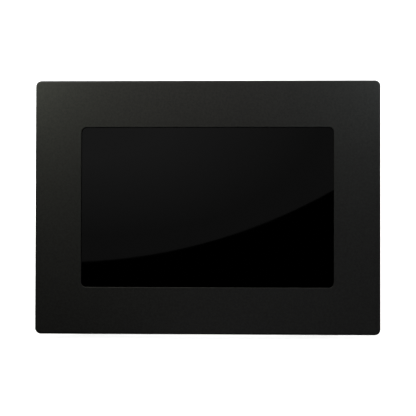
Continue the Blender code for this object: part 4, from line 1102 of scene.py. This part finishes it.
class PHOTOFRAME_OT_leg(bpy.types.Operator):
    """Fold-out leg with its ribs, its rubber tip and its hinge"""

    bl_idname = "photoframe.leg"
    bl_label = "Leg"

    def execute(self, context):
        self.leg()
        self.tip()
        dress(finish("nickel"), "stand_pin", "stand_clip_left", "stand_clip_right")
        dress(finish("galvanised"), "stand_washer_left", "stand_washer_right")
        return {"FINISHED"}

    def leg(self):
        """A tapered bar with a barrel at the hinge, a tab for the tip and ribbed pockets in its front."""
        tip = own_box("stand_tip", LEG_AXES)[1]
        wide, narrow, end = own_box("stand_leg", LEG_AXES)[1].x, tip.x - TIP_LAP, tip.z + 0.15
        bm = group(wedge(2 * wide, 2 * narrow, 5.5, -LEG_KINK, end, -LEG_HALF, LEG_HALF))
        outline = lambda p: abs(abs(p.y) - LEG_HALF) < 0.01 and end + 0.5 < p.z < 5.0
        soften(bm, sharp_edges(bm, 50, outline), 0.4, 3)
        carve(bm, "UNION", moved(drum(3.0, -wide, wide, steps=48), SIDEWAYS))
        carve(bm, "UNION", slab(30.0, 7.0, 0.3, -1.0, 1.0, (0.0, end - 0.5), steps=2))
        carve(bm, "DIFFERENCE", self.stop_wedge())
        holes = [moved(drum(1.6, -wide - 5, wide + 5, steps=32), SIDEWAYS)]
        top, bottom, rib = -5.5, end + 3.8, 1.8
        width, height = (2 * narrow - 4 * rib) / 3, (top - bottom - 3 * rib) / 4
        for x in places_in_row(0.0, 3, width + rib):
            for z in places_in_row((top + bottom) / 2, 4, height + rib):
                holes.append(slab(width, height, 1.5, -LEG_HALF - 2, LEG_HALF - 1.6, (x, z), steps=4))
        carve(bm, "DIFFERENCE", *holes)
        face_out(bm)
        settle("moulded_leg", bm, [finish("moulding")], "stand", ["stand_leg"], LEG_AXES)

    def stop_wedge(self):
        """What the heel loses, so that it lies on the pocket's floor when the leg is open."""
        pocket = own_box("rear_housing", LEANED)[1].y - PAD_RISE - POCKET_DEPTH
        reach = HINGE.y - pocket - 0.15
        part = slab(120.0, 40.0, 0.1, -20.0 - reach, -reach, steps=1)
        return moved(part, Matrix.Rotation(-LEG_OPEN, 4, "X"))

    def tip(self):
        """A rubber shoe, cut flat where it stands when the leg is open, with room for the leg's tab."""
        low, high = own_box("stand_tip", LEG_AXES)
        below = 4.0
        centre = (0.0, (high.z + low.z - below) / 2)
        bm = slab(high.x - low.x, high.z - low.z + below, 1.2, low.y, high.y, centre, steps=4)
        face_out(bm)
        cut_at_floor(bm, LEG_AXES)
        soften(bm, sharp_edges(bm, 50, lambda p: True), 0.5, 3)
        face_out(bm)
        carve(bm, "DIFFERENCE", slab(30.6, 5.3, 0.2, -1.15, 1.15, (0.0, high.z - 2.3), steps=1))
        settle("leg_tip", bm, [finish("rubber")], "stand", ["stand_tip"], LEG_AXES)


# Stage


# Each lamp's name, where it is and what it faces in metres along the frame's own axes from the middle of its
# face, its width in metres, its power in watts and its colour
WHITE = (1.0, 1.0, 1.0)
MIDDLE = (0.0, 0.0, 0.0)
LAMPS = (
    ("upper_left", (-0.18, -0.07, 0.137), (-0.12, 0.0, 0.08), 0.07, 0.128, (0.93, 1.0, 0.79)),
    ("upper_right", (0.18, -0.08, 0.15), (0.12, 0.0, 0.08), 0.08, 0.107, (0.9, 1.0, 0.98)),
    ("upper_middle", (-0.05, -0.2, 0.3), (-0.06, 0.0, 0.06), 0.1, 0.482, (1.0, 0.96, 0.89)),
    ("low_right", (0.2, -0.3, -0.14), (0.02, 0.0, -0.06), 0.08, 0.05, (0.97, 0.97, 1.0)),
    ("low_middle", (0.01, -0.16, -0.15), (0.0, 0.0, -0.08), 0.06, 0.02, (0.97, 0.97, 1.0)),
    ("back_left", (-0.9, 0.9, 0.7), MIDDLE, 0.7, 14.0, WHITE),
    ("back_right", (0.9, 0.9, 0.5), MIDDLE, 0.7, 14.0, WHITE),
    ("side_left", (-1.1, 0.6, 0.1), (-0.1, 0.02, 0.0), 0.6, 3.0, WHITE),
    ("side_right", (1.1, 0.6, 0.1), (0.1, 0.02, 0.0), 0.6, 3.0, WHITE),
    ("overhead", (0.0, 0.3, 1.6), (0.0, 0.1, 0.0), 1.2, 6.0, WHITE),
)


class PHOTOFRAME_OT_stage(bpy.types.Operator):
    """Pale floor, soft studio light and the camera"""

    bl_idname = "photoframe.stage"
    bl_label = "Stage"

    def execute(self, context):
        self.scene = context.scene
        self.settings = context.scene.photoframe_stage
        shell = own_box("front_shell", LEANED)[1]
        self.face = LEANED @ Matrix.Translation((0.0, 0.0, shell.z / 2 * MM))
        self.scene.view_settings.view_transform = "Standard"
        self.world()
        self.floor()
        self.lights()
        self.reflector()
        self.camera()
        return {"FINISHED"}

    def staged_disc(self, name, material, radius, sides):
        """A round sheet that belongs to the stage."""
        bm = bmesh.new()
        bmesh.ops.create_circle(bm, cap_ends=True, segments=sides, radius=radius)
        mesh = bpy.data.meshes.new(name)
        bm.to_mesh(mesh)
        bm.free()
        mesh.materials.append(material)
        obj = bpy.data.objects.new(name, mesh)
        self.scene.collection.objects.link(obj)
        return obj

    def world(self):
        """White behind the object. It isn't seen in gloss and gives no light."""
        world = bpy.data.worlds.new("studio")
        world.use_nodes = True
        world.node_tree.nodes["Background"].inputs["Color"].default_value = (1.0, 1.0, 1.0, 1.0)
        self.scene.world = world
        sight = world.cycles_visibility
        sight.diffuse = sight.glossy = sight.transmission = sight.scatter = False

    def floor(self):
        """A pale table top. It takes soft shadows, and it isn't seen in the object's gloss."""
        top, tree, shader, place = new_finish("pale_laminate", Roughness=0.6, Specular_IOR_Level=0.0)
        grain = noise(tree, place, 4.0, Detail=3.0)
        feed(tree, shader, Base_Color=blend(tree, grain, linear("#f0f0f0"), linear("#f6f6f6")))
        floor = self.staged_disc("table_top", top, 12.0, 64)
        floor.visible_diffuse = floor.visible_glossy = False
        lit = bpy.data.collections.new("lit_by_floor_lamp")
        lit.objects.link(floor)
        for name, energy, degrees, casts in (("floor_wash", 3.3, 0, False), ("floor_lamp", 1.0, 110, True)):
            data = bpy.data.lights.new(name, "SUN")
            data.energy, data.angle, data.use_shadow = energy, math.radians(degrees), casts
            lamp = bpy.data.objects.new(name, data)
            lamp.light_linking.receiver_collection = lit
            self.scene.collection.objects.link(lamp)

    def lights(self):
        """Small lamps close in front, strongest at the upper left, and large soft ones behind.

        They leave out the glass, which would mirror them as hard squares.
        """
        not_glass = bpy.data.collections.new("all_but_the_glass")
        for obj in self.scene.objects:
            if obj.type == "MESH" and obj.name != "window_glass":
                not_glass.objects.link(obj)
        for name, place, aim, width, power, tint in LAMPS:
            data = bpy.data.lights.new(name, "AREA")
            data.shape, data.size, data.energy, data.color = "SQUARE", width, power, tint
            lamp = bpy.data.objects.new(name, data)
            lamp.visible_camera = False
            lamp.light_linking.receiver_collection = not_glass
            start, end = self.face @ Vector(place), self.face @ Vector(aim)
            turn = (end - start).to_track_quat("-Z", "Y").to_matrix().to_4x4()
            lamp.matrix_world = Matrix.Translation(start) @ turn
            self.scene.collection.objects.link(lamp)

    def reflector(self):
        """A dim round sheet in front of the frame that only shows as the curved gloss on the glass."""
        card = bpy.data.materials.new("dim_reflector")
        card.use_nodes = True
        tree = card.node_tree
        tree.nodes.remove(tree.nodes["Principled BSDF"])
        place = add_node(tree, "TexCoord", {}, {}).outputs["Object"]
        # It is brightest in an oval and dims away from it.
        inputs = {"Vector": place, "Location": (-0.028, 0.665, 0.0), "Scale": (0.55, 1.0, 1.0)}
        oval = add_node(tree, "Mapping", {}, inputs).outputs[0]
        distance = add_node(tree, "VectorMath", {"operation": "LENGTH"}, {0: oval}).outputs["Value"]
        strength = spread(tree, distance, 0.225, 0.106, 0.084, 0.216)
        glow = add_node(tree, "Emission", {}, {"Strength": strength}).outputs[0]
        tree.links.new(glow, tree.nodes["Material Output"].inputs["Surface"])
        sheet = self.staged_disc("reflector", card, 0.925, 192)
        sheet.matrix_world = self.face @ Matrix.Translation((-0.306, -1.4, 0.857)) @ UPWARDS
        sheet.visible_camera = sheet.visible_diffuse = sheet.visible_shadow = False

    def camera(self):
        """A camera that looks at the face nearly square on."""
        settings = self.settings
        data = bpy.data.cameras.new("camera")
        data.lens, data.sensor_width, data.clip_start, data.clip_end = settings.lens, 36.0, 0.01, 60.0
        camera = bpy.data.objects.new("camera", data)
        self.scene.collection.objects.link(camera)
        yaw, pitch = settings.yaw, settings.pitch
        away = Vector((math.sin(yaw) * math.cos(pitch), -math.cos(yaw) * math.cos(pitch), math.sin(pitch)))
        start = away * settings.distance
        ahead = (Vector((settings.aim_right, 0.0, settings.aim_up)) - start).normalized()
        right = ahead.cross(Vector((0, 0, 1))).normalized()
        turn = Matrix((right, right.cross(ahead), -ahead)).transposed().to_4x4()
        roll = Matrix.Rotation(settings.roll, 4, "Z")
        camera.matrix_world = self.face @ Matrix.Translation(start) @ turn @ roll
        self.scene.camera = camera


class PHOTOFRAME_PT_sidebar(bpy.types.Panel):
    """Lists the frame's pieces and its stage"""

    bl_label = "Digital photo frame"
    bl_idname = "PHOTOFRAME_PT_sidebar"
    bl_space_type = "VIEW_3D"
    bl_region_type = "UI"
    bl_category = "Photo Frame"

    def draw(self, context):
        for name in GROUPS:
            box = self.layout.box()
            settings = getattr(context.scene, f"photoframe_{name}")
            for key in settings.__annotations__:
                box.prop(settings, key)
        for operator in OPERATORS:
            self.layout.operator(operator.bl_idname)


GROUPS = {
    "shell": PHOTOFRAME_PG_shell,
    "cover": PHOTOFRAME_PG_cover,
    "colours": PHOTOFRAME_PG_colours,
    "stage": PHOTOFRAME_PG_stage,
}
OPERATORS = (
    PHOTOFRAME_OT_front_shell,
    PHOTOFRAME_OT_cover_glass,
    PHOTOFRAME_OT_screen,
    PHOTOFRAME_OT_boards,
    PHOTOFRAME_OT_sockets,
    PHOTOFRAME_OT_back_cover,
    PHOTOFRAME_OT_buttons,
    PHOTOFRAME_OT_screws,
    PHOTOFRAME_OT_feet,
    PHOTOFRAME_OT_leg,
    PHOTOFRAME_OT_stage,
)
CLASSES = (*GROUPS.values(), *OPERATORS, PHOTOFRAME_PT_sidebar)


def register():
    for each in CLASSES:
        bpy.utils.register_class(each)
    for name, kind in GROUPS.items():
        setattr(bpy.types.Scene, f"photoframe_{name}", bpy.props.PointerProperty(type=kind))


def unregister():
    for name in GROUPS:
        delattr(bpy.types.Scene, f"photoframe_{name}")
    for each in reversed(CLASSES):
        bpy.utils.unregister_class(each)


def main():
    register()
    for operator in OPERATORS:
        module, name = operator.bl_idname.split(".")
        if getattr(getattr(bpy.ops, module), name)() != {"FINISHED"}:
            raise RuntimeError(f"{operator.bl_label} wasn't finished")


if __name__ == "__main__":
    main()
